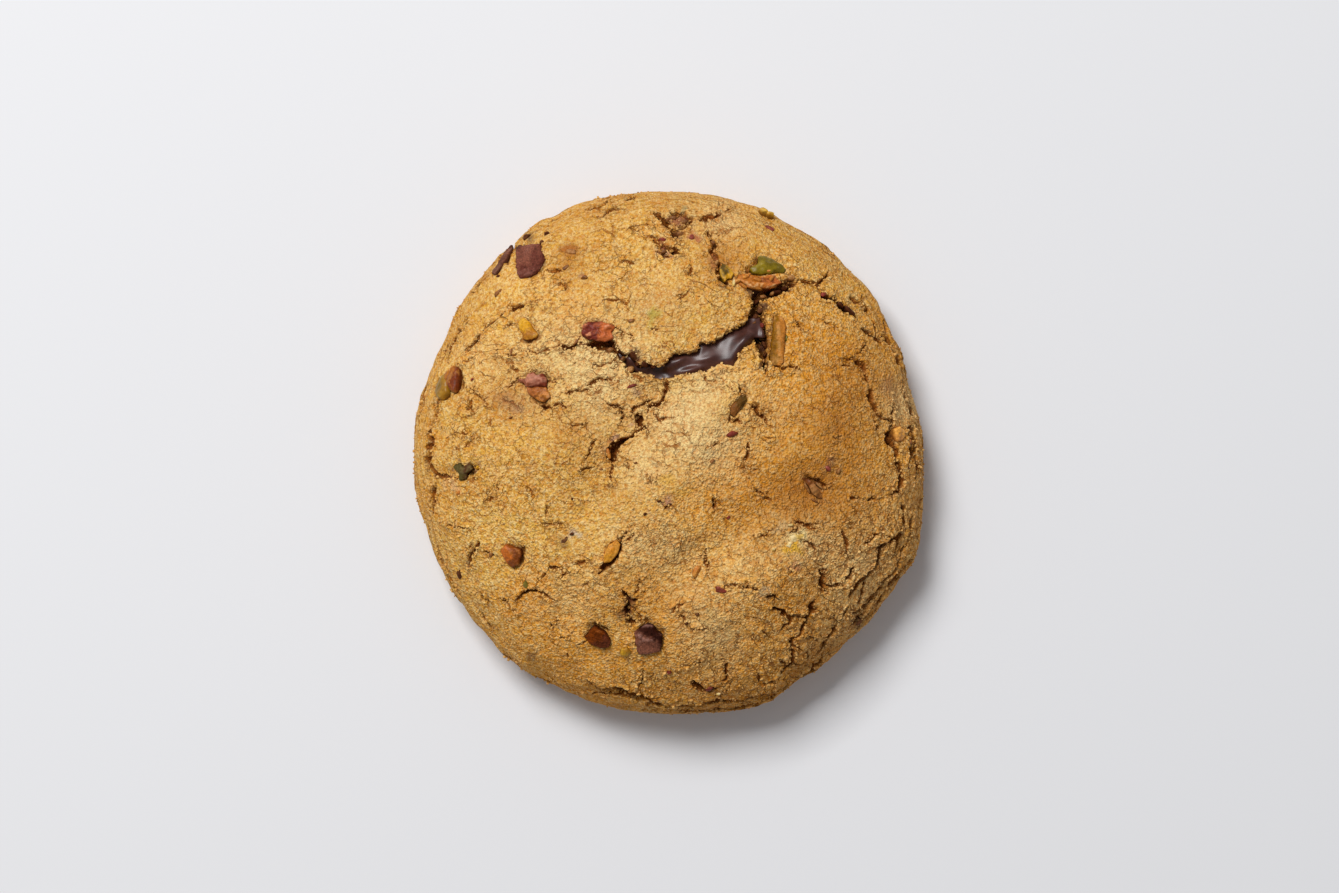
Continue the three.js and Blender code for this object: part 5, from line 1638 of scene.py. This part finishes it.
@dataclass
class Pool:
    """Melted chocolate in the wide split."""

    form: CookieForm
    split: Split
    cell: float = 0.24
    tuck: float = 0.55
    depth: float = 2.4
    sag: float = 1.35
    swell_rise: float = 0.12
    swell_width: float = 2.8
    ripple_rise: float = 0.02
    ripple_width: float = 1.1
    edge_drop: float = 0.5
    tones: Tones = Tones("#36140c", "#46241c", "#5c3830", "#240c06")
    low: tuple[float, float] = (-10.5, 12.5)
    high: tuple[float, float] = (19.5, 26.0)
    # Ridges and valleys where the chocolate has folded, as ovals and their rise.
    ridges: Rows = (
        (3.6, 15.6, 2.4, 0.8, 18, 0.6), (1.8, 17.5, 1.7, 0.7, 30, 0.6), (6.4, 17.4, 2.2, 0.8, 22, 0.5),
        (13.5, 20.6, 3.6, 1.6, 54, 1.15), (-2.6, 15.5, 2.4, 1.2, -10, -0.9), (17.6, 22.6, 1.6, 0.8, 85, 0.8),
        (5.5, 16.8, 2.6, 0.6, 12, -0.5), (8.2, 20.6, 1.6, 1.0, 30, -0.5), (-0.8, 15.0, 1.8, 0.9, 10, -0.5),
        (14.4, 21.8, 1.7, 1.0, 40, 0.6), (-7.0, 18.0, 1.4, 1.1, 20, 1.0), (-3.6, 16.2, 1.6, 0.6, -25, 0.3),
    )

    def build(self) -> Piece:
        """Make the pool and let it stand for its solid."""
        across, along = (np.arange(low, high, self.cell) for low, high in zip(self.low, self.high))
        width = len(across)
        grid = np.array([[x, y] for y in along for x in across])
        keep = ((self.split.beyond(grid) < self.tuck) & self.split.filled(grid)).reshape(-1, width)
        rows, columns = np.nonzero(keep[:-1, :-1] & keep[1:, :-1] & keep[:-1, 1:] & keep[1:, 1:])
        corner = rows * width + columns
        quads = np.column_stack([corner, corner + 1, corner + width + 1, corner + width])
        used, quads = np.unique(quads, return_inverse=True)
        quads = quads.reshape(-1, 4)
        top = self._surface(grid[used])
        count = len(used)
        start, end = np.stack([quads, np.roll(quads, -1, axis=1)], axis=2).reshape(-1, 2).T
        border = ~np.isin(start * count + end, end * count + start)
        start, end = start[border], end[border]
        walls = np.column_stack([end, start, start + count, end + count])
        skin = np.concatenate([top, top - [0, 0, self.depth]])
        faces = np.concatenate([quads, quads[:, ::-1] + count, walls])
        pool = make_object("melted_chocolate_pool", skin - self.form.box_middle(), faces)
        set_values(pool, "tone", self.tones.paint(skin, np.zeros(len(skin)), 1.0, 750))
        pool.data.materials.append(MELTED.material())
        return mount(pool, "melted_chocolate", "melted_chocolate")

    def _surface(self, spots: Array) -> Array:
        """Top of the chocolate over places in the split."""
        level = self.form.crust_level(*spots.T) - self.sag
        level = swollen(level, *spots.T, self.ridges)
        flat = np.column_stack([spots, np.zeros(len(spots))])
        level += (self.swell_rise * noise(flat, self.swell_width, 701)
                  + self.ripple_rise * noise(flat, self.ripple_width, 702))
        level -= self.edge_drop * smooth(self.split.beyond(spots), -1.2, 0.3)
        return np.column_stack([spots, level])


# ---- what is strewn over the crust ----


@dataclass(frozen=True)
class Fleck:
    """Small bit lying in the crust, an uneven lump with broken faces: place, length, width, turn
    and rise."""

    x: float
    y: float
    length: float
    width: float
    turn: float = 0.0
    out: float = 0.2
    breaks: int = 4
    squareness: float = 2.6
    unevenness: float = 0.1
    wrinkle: float = 0.05

    @property
    def thick(self) -> float:
        """How thick the bit is."""
        return 0.75 * self.width + 0.5

    def shape(self, way: Array, seed: int) -> Array:
        """Shape the lump.

        Args:
            way: Directions of its corners.
            seed: Pattern number.

        Returns:
            The corners about its own middle.
        """
        halves = np.array([self.length, self.width, self.thick]) / 2
        power = self.squareness
        reach = np.sum(np.abs(way / halves) ** power, axis=1) ** (-1 / power)
        reach = reach * (1 + self.unevenness * fractal(way * 3, 3.0, seed, 2))
        corners = way * reach[:, None]
        rng = np.random.default_rng(seed)
        for _ in range(self.breaks):
            turn = rng.uniform(0, math.tau)
            lean = rng.uniform(-0.1, 0.75)
            normal = np.array([math.cos(turn), math.sin(turn), lean])
            normal /= np.linalg.norm(normal)
            level = np.linalg.norm(halves * normal) * rng.uniform(0.68, 0.9)
            over = np.maximum(corners @ normal - level, 0)
            corners = corners - (over - 0.12 * over)[:, None] * normal
        ridges = noise(corners * [0.6, 1.6, 1.6], 0.7, seed + 40) + 0.6 * noise(corners, 0.35, seed + 50)
        return corners * (1 + self.wrinkle * ridges)[:, None]


@dataclass(frozen=True)
class FleckKind:
    """Bits of one colour: the piece's name, slot, tones and rows of the flecks' fields."""

    name: str
    slot: str
    tones: Tones
    flecks: Rows


FLECK_KINDS: tuple[FleckKind, ...] = (
    FleckKind("red_skin_flecks", RED_SKIN, Tones("#8d3a2c", "#7a3420", "#b4685a", "#4a1c10"), (
        (11.8, 3.7, 2.5, 1.3, 12, 0.35), (30, -3, 1.6, 1.1, -40, 0.15), (9.5, -25.8, 2.9, 1.2, -8, 0.25),
        (4.2, 41.5, 1.6, 1.2, 60, 0.05), (19.3, 43.5, 2.4, 1.2, -25, 0.05), (17.6, 24.5, 1.2, 0.8, 90, -0.3),
        (-7.2, 12.7, 2.4, 0.7, 14, 0.15), (-0.2, -42, 1, 0.7, 30), (7.5, -45.3, 1.9, 1, 10),
        (-1.5, 40.8, 1.6, 0.9, 15), (11, -12.2, 0.9, 0.5, 40), (-37.9, 14.1, 0.9, 0.5, 40, 0.05),
        (29.4, 30.4, 1.5, 0.9, 30))),
    FleckKind("brown_skin_flecks", ORANGE, Tones("#96602c", "#845024", "#bd8a50", "#4d2a12"), (
        (-6.5, -1.8, 0.8, 0.5, 0, 0.1), (-18.8, 38.5, 2.8, 1.3, -20), (-16.3, 33.5, 1.3, 0.9, 10),
        (-34.3, -19.3, 1.3, 0.9, 60), (-33.2, 30.7, 2.2, 0.8, 45), (-1.2, 38.4, 1.4, 0.8, 20),
        (0.6, 45.2, 1.5, 1, -30), (2.6, 44.4, 1.7, 1, 10), (-0.4, 44.8, 1.2, 0.8, 40),
        (1.8, 41.9, 1.3, 1, 70), (8.2, 40.2, 1.2, 0.8, 100), (-30.2, 19.2, 1.9, 0.5, 92),
        (8, -1.6, 1.1, 0.7, 30, 0.15), (-13, -3, 0.9, 0.5, 0), (30.5, -1, 1.4, 0.6, 40),
        (32, -3.4, 1.2, 0.5, 60), (26, -6.6, 2.8, 0.5, -58, 0.1), (28.3, -6.2, 2.4, 0.5, -42, 0.1),
        (27.4, -9, 1.8, 0.5, -30, 0.1), (23.4, -21.7, 1.9, 0.7, -8, 0.1), (21, -20.5, 0.9, 0.6, 30, 0.1),
        (-19.9, 35.4, 1.8, 0.8, 40), (25.2, 23.5, 0.9, 0.6, 0), (-7.4, 25.1, 1.7, 0.7, 5, 0.05),
        (-30.3, 6.8, 0.8, 0.5, 0, 0.1), (18.1, 30.3, 1.5, 0.8, 15, -1.1), (-7.5, 15.9, 1.8, 1.3, 60, -0.05),
        (-9, 17.8, 1.3, 0.9, 40, 0), (-11.4, 19.5, 1.6, 0.9, 20, 0.1), (17.9, 17.6, 1.1, 0.6, 60, -1.1),
        (-17.6, 21.5, 2.6, 1, 60, 0.1), (-16.3, 20.6, 1.8, 0.8, 0, 0.1), (23.3, 33.6, 2.2, 1.2, 10, 0.1),
        (19.9, 31, 1.3, 0.7, 40, -1), (8.9, 36.4, 1.4, 0.7, 60, 0.05))),
    FleckKind("orange_flecks", ORANGE, Tones("#c9822e", "#bb6f24", "#e0a95c", "#8a4a1a"), (
        (-11.6, -0.2, 2.6, 0.8, 105, 0.3), (5, -22.4, 2.7, 1.4, 70, 0.5), (46.2, 2.2, 1.6, 1.2, 60, 0.2),
        (12.8, 32.6, 1.5, 0.9, 20, 0.5), (18.8, 34.6, 1.2, 0.6, 10, 0.5), (14.6, 33.5, 2.2, 0.8, 35, 0.65),
        (19.3, 33.2, 1.9, 0.8, 50, 0.65), (16.6, 32.8, 2, 0.7, -20, 0.7), (16.2, 31.5, 3.6, 0.6, -6, 0.1),
        (19.6, 31.8, 2, 0.6, 25, 0.1), (13.9, 31.9, 2, 0.6, -35, 0.1), (20.4, 16.8, 2.2, 0.5, -8, 0.1),
        (-40.5, -7.6, 1.2, 0.8, 20))),
    FleckKind("green_flecks", GREEN, Tones("#867628", "#6e6016", "#a89a54", "#54400f"), (
        (-27.4, -25, 2.7, 1.3, 70, 0.2), (19.2, 24.6, 1.4, 0.7, 80, -0.4), (22.2, 22, 1.5, 0.7, 80, 0))),
    FleckKind("cream_flecks", YELLOW, Tones("#e8cf94", "#dfb85c", "#f3e2b6", "#b08a44"), (
        (23.6, -16.1, 2.9, 1.7, 15, 0.12), (22.5, -17.4, 1.6, 1.1, 60, 0.15), (25, -15.8, 1.3, 0.9, 0, 0.1),
        (12.1, 32.4, 1.6, 0.7, 80, 0.3), (9.3, -46.3, 1, 0.7, 0), (19.6, -18.2, 0.8, 0.6, 0),
        (22.8, -13.6, 1.6, 0.5, 5), (1.9, -6.5, 1.4, 0.9, 20, 0.05))),
    FleckKind("yellow_kernel_flecks", YELLOW, Tones("#c8961e", "#b07a18", "#dcb454", "#7c4e12"), (
        (-8.6, -37.9, 2.5, 2.1, 50, 0.3), (23.2, -17.7, 2.6, 1.1, -8, 0), (17.9, 46, 2, 1.3, -30, 1.4),
        (19.1, 45.4, 1.9, 1, 25, 1.3), (-36.8, -2.8, 1, 0.6, 60, 0.05))),
    FleckKind("dark_chocolate_flecks", CHUNK, Tones("#4e260e", "#5c341c", "#7c5234", "#2a1008"), (
        (17.5, 22.8, 1.7, 0.9, 70, -0.8), (18.1, 20.8, 1.6, 0.8, 110, -0.8), (17.5, 27.6, 1.6, 1.2, 70, -0.9),
        (16.6, 26.3, 1.4, 1, 20, -0.9), (16.2, 25, 1.1, 0.9, 50, -1), (17, 29.3, 1.6, 1.1, 20, -1),
        (20.7, 31.2, 1.6, 1, 22, -0.8), (22.2, 31.8, 1.4, 0.8, 10, -0.6), (18.3, 18.9, 1.2, 0.7, 60, -1),
        (-6.9, 18.3, 2.2, 1.6, 105, 0.3), (-4.8, 16.8, 2.2, 1.1, -15, -0.1), (-3.1, 16.4, 1.5, 0.9, 20, -0.2),
        (-6.2, 16.9, 1, 0.8, 20, 0), (-33, 34, 1.3, 0.9, 60), (-23.8, 42.3, 1.2, 0.8, 20),
        (-27.9, 41.8, 2.4, 1.3, 30, 0.35), (-24.7, 40.6, 1.1, 0.8, 0), (-20.1, -16.6, 2.4, 1.1, 35, 0.1),
        (-18.6, -15.3, 0.9, 0.5, 20, 0.1), (-26.2, -38.4, 2.6, 0.9, -48, 0.1), (5.1, -30.6, 0.8, 0.5, 0),
        (3.1, -32.4, 0.8, 0.5, 40), (-4.7, -11.5, 0.9, 0.6, 20), (-18.5, -8.7, 0.8, 0.5, 70),
        (-2, -9, 1.1, 0.6, 20), (-23.6, -25.1, 1.4, 0.9, 50, 0), (45.7, -2.8, 1.2, 1.1, 0, 0.35),
        (34.7, 27.3, 3.2, 1.1, -36, 0.05), (32.9, 28.6, 1.8, 0.8, -30, 0), (36.6, -32.8, 1.9, 1, 70, 0.1),
        (-40.8, -23.5, 2.2, 1, 100, 0.05), (-9.4, 19.4, 1.2, 0.8, 60, 0.1))),
)


@dataclass
class Flecks:
    """Small bits of nut skin, nut flesh and chocolate in the crust."""

    form: CookieForm
    ball_levels: int = 4

    def build(self) -> list[Piece]:
        """Make one piece for each kind."""
        way, triangles = self._ball()
        pieces = []
        for number, kind in enumerate(FLECK_KINDS):
            points, faces, tones = [], [], []
            for index, fleck in enumerate(Fleck(*row) for row in kind.flecks):
                frame = LocalFrame(self.form, fleck.x, fleck.y, fleck.turn)
                corners = fleck.shape(way, 900 + 60 * number + index)
                corners[:, 2] += fleck.out - fleck.thick / 2 + 0.05
                points.append(frame.place(corners))
                # Corners low in the crust take the dark edge colour as painted shade.
                depth = np.clip((fleck.out - 0.15 - corners[:, 2]) / 0.6, 0, 1)
                tones.append(kind.tones.paint(corners, depth, index, 900 + index))
                faces.append(triangles + index * len(way))
            points = np.concatenate(points) - self.form.box_middle()
            piece = make_object(kind.name, points, np.concatenate(faces))
            set_values(piece, "tone", np.concatenate(tones))
            finish = dataclasses.replace(BROKEN_FINISHES[kind.slot], name=f"{kind.name}_surface")
            piece.data.materials.append(finish.material())
            pieces.append(mount(piece, kind.slot))
        return pieces

    def _ball(self) -> tuple[Array, Array]:
        """Unit directions of a ball's corners, and its triangles."""
        ball = bmesh.new()
        bmesh.ops.create_icosphere(ball, subdivisions=self.ball_levels, radius=1.0)
        ball.verts.ensure_lookup_table()
        corners = np.array([v.co[:] for v in ball.verts])
        faces = np.array([[v.index for v in f.verts] for f in ball.faces])
        ball.free()
        return corners / np.linalg.norm(corners, axis=1)[:, None], faces


@dataclass(frozen=True)
class Strewn:
    """Grains or crumbs strewn over the crust by a node tree.

    ``mask`` names the value of the crust that says how thickly they lie, and ``stretch`` holds
    the least and the greatest half-sizes of a grain as shares of its size.
    """

    name: str
    finish: GrainFinish
    mask: str
    per_square_mm: float
    smallest: float
    largest: float
    levels: int
    seed: int
    sink: float = 0.1
    stretch: tuple[Spots, Spots] = ((0.32, 0.32, 0.28), (0.68, 0.6, 0.52))

    def build(self, crust: Piece) -> Piece:
        """Strew the grains over the crust."""
        source = in_scene(f"{self.name}_source", crust.data.copy())
        modifier = source.modifiers.new("strewn", "NODES")
        sizes = {"Grains per Area": self.per_square_mm / MM**2, "Smallest": self.smallest * MM,
                 "Largest": self.largest * MM, "Sink": self.sink, "Seed": self.seed}
        modifier.node_group, identifiers = self._tree(sizes)
        for name, value in sizes.items():
            modifier[identifiers[name]] = value
        mesh = bpy.data.meshes.new_from_object(source.evaluated_get(bpy.context.evaluated_depsgraph_get()))
        source.modifiers.remove(modifier)
        bpy.data.objects.remove(source)
        mesh.name = self.name
        return mount(in_scene(self.name, mesh), "baked_dough")

    def _tree(self, sizes: dict[str, float]) -> tuple[Tree, dict[str, str]]:
        """Build the node tree, with an input for each size and for the seed.

        Returns:
            The tree, and the identifier of each of its inputs.
        """
        tree = bpy.data.node_groups.new(f"strew_{self.name}", "GeometryNodeTree")
        for side in ("INPUT", "OUTPUT"):
            tree.interface.new_socket("Geometry", in_out=side, socket_type="NodeSocketGeometry")
        identifiers = {name: tree.interface.new_socket(
            name, in_out="INPUT", socket_type=f"NodeSocket{'Int' if name == 'Seed' else 'Float'}").identifier
            for name in sizes}
        given = add_node(tree, "NodeGroupInput")
        seed = given["Seed"]
        mask = add_node(tree, "GeometryNodeInputNamedAttribute", {"Name": self.mask})[0]
        density = add_node(tree, MATH, (mask, given["Grains per Area"]), operation="MULTIPLY")[0]
        spread = add_node(tree, "GeometryNodeDistributePointsOnFaces", {
            "Mesh": given["Geometry"], "Density": density, "Seed": seed})
        size, shade = (add_node(tree, RANDOM, {**limits, "Seed": seed})[1]
                       for limits in ({2: given["Smallest"], 3: given["Largest"]}, {}))
        stretch, turn = (add_node(tree, RANDOM, {0: low, 1: high, "Seed": seed}, data_type="FLOAT_VECTOR")[0]
                         for low, high in (self.stretch, ((0, 0, 0), (math.tau,) * 3)))
        scale = add_node(tree, VECTOR, {0: stretch, "Scale": size}, operation="SCALE")[0]
        drop = add_node(tree, MATH, (given["Sink"], size), operation="MULTIPLY")[0]
        lower = add_node(tree, VECTOR, {0: spread["Normal"], "Scale": drop}, operation="SCALE")[0]
        placed = add_node(tree, "GeometryNodeSetPosition", {"Geometry": spread["Points"], "Offset": lower})[0]
        ball = add_node(tree, "GeometryNodeMeshIcoSphere", {"Subdivisions": self.levels})[0]
        put = add_node(tree, "GeometryNodeInstanceOnPoints", {
            "Points": placed, "Instance": ball, "Rotation": turn, "Scale": scale})[0]
        marked = add_node(tree, "GeometryNodeStoreNamedAttribute", {
            "Geometry": put, "Name": "shade", "Value": shade}, domain="INSTANCE")[0]
        real = add_node(tree, "GeometryNodeRealizeInstances", (marked,))[0]
        uneven = add_node(tree, NOISE, {"Scale": per_mm(self.largest * 0.7), "Detail": 1.0})["Color"]
        pushed = add_node(tree, VECTOR, (uneven, (0.5, 0.5, 0.5)), operation="SUBTRACT")[0]
        pushed = add_node(tree, VECTOR, {0: pushed, "Scale": self.largest * MM * 0.8}, operation="SCALE")[0]
        shaped = add_node(tree, "GeometryNodeSetPosition", {"Geometry": real, "Offset": pushed})[0]
        dressed = add_node(tree, "GeometryNodeSetMaterial", {
            "Geometry": shaped, "Material": self.finish.material()})[0]
        add_node(tree, "NodeGroupOutput", (dressed,))
        return tree, identifiers


STREWN: tuple[Strewn, ...] = (
    Strewn("pale_sugar_grains", GrainFinish("pale_sugar_grain", "#d8a14c", "#f0cb84"),
           "grainy", 0.34, 0.18, 0.38, 1, 11),
    Strewn("golden_sugar_grains", GrainFinish("golden_sugar_grain", "#c48832", "#e6b25a"),
           "grainy", 0.5, 0.22, 0.46, 1, 23),
    Strewn("crust_crumbs", GrainFinish("broken_crust_crumb", "#be802e", "#e8b664"),
           "crumbly", 0.8, 0.28, 0.64, 2, 37, 0.2),
)


# ---- stage ----


@dataclass
class Studio:
    """Pale floor, soft light from the upper left, and a camera straight above."""

    floor_half: float = 3.0
    lens: float = 100.0
    sensor: float = 36.0
    camera_place: tuple[float, float, float] = (0.00015, 0.00119, 0.731)
    key_place: tuple[float, float, float] = (-0.45, 0.72, 1.17)
    key_size: float = 0.6
    key_power: float = 19.2
    sky: str = "#fbfcff"
    sky_strength: float = 0.265

    def build(self) -> None:
        """Make the floor, the light, the world and the camera."""
        corners = np.array([[-1, -1, 0], [1, -1, 0], [1, 1, 0], [-1, 1, 0]], dtype=float)
        floor = make_object("floor", corners * self.floor_half / MM, np.array([[0, 1, 2, 3]]), False)
        floor.data.materials.append(FloorFinish().material())
        floor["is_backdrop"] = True
        lamp = bpy.data.lights.new("key_light", "AREA")
        lamp.size = self.key_size
        lamp.energy = self.key_power
        holder = in_scene("key_light", lamp)
        holder.location = self.key_place
        holder.rotation_euler = Vector(self.key_place).to_track_quat("Z", "Y").to_euler()
        world = bpy.data.worlds.new("studio")
        world.use_nodes = True
        world.node_tree.nodes.clear()
        light = add_node(world.node_tree, "ShaderNodeBackground", {"Color": linear(self.sky),
                                                                   "Strength": self.sky_strength})
        add_node(world.node_tree, "ShaderNodeOutputWorld", {"Surface": light["Background"]})
        scene = bpy.context.scene
        scene.world = world
        scene.view_settings.view_transform = "Standard"
        scene.view_settings.look = "None"
        camera = in_scene("camera", bpy.data.cameras.new("camera"))
        camera.data.lens = self.lens
        camera.data.sensor_width = self.sensor
        camera.data.clip_start = 0.01
        camera.location = self.camera_place
        scene.camera = camera


# ---- the cookie ----


@dataclass
class PistachioCookie:
    """The whole cookie."""

    form: CookieForm = field(default_factory=CookieForm)
    split: Split = field(default_factory=Split)
    clear: float = 0.12

    def build(self, box: list) -> list[Piece]:
        """Build and dress every piece.

        Args:
            box: Lowest and highest corners of the construction model, in metres.

        Returns:
            The pieces.
        """
        shift = self.form.box_middle()
        low = np.array(box[0]) / MM + shift + [self.clear, self.clear, 0]
        high = np.array(box[1]) / MM + shift - self.clear
        crust = Crust(CrustRelief(self.form, CrackLines(self.form), self.split, low, high)).build()
        strewn = [kind.build(crust) for kind in STREWN]
        pieces = [mount(crust, "baked_dough", "dough"), *strewn, Pool(self.form, self.split).build()]
        return pieces + Shards(self.form).build() + Flecks(self.form).build()


def main() -> None:
    """Load the construction model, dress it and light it."""
    logging.basicConfig(level=logging.INFO, format="%(message)s")
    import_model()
    cad_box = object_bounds()
    Studio().build()
    for piece in PistachioCookie().build(cad_box):
        LOG.info("%s: %d faces", piece.name, len(piece.data.polygons))


if __name__ == "__main__":
    main()
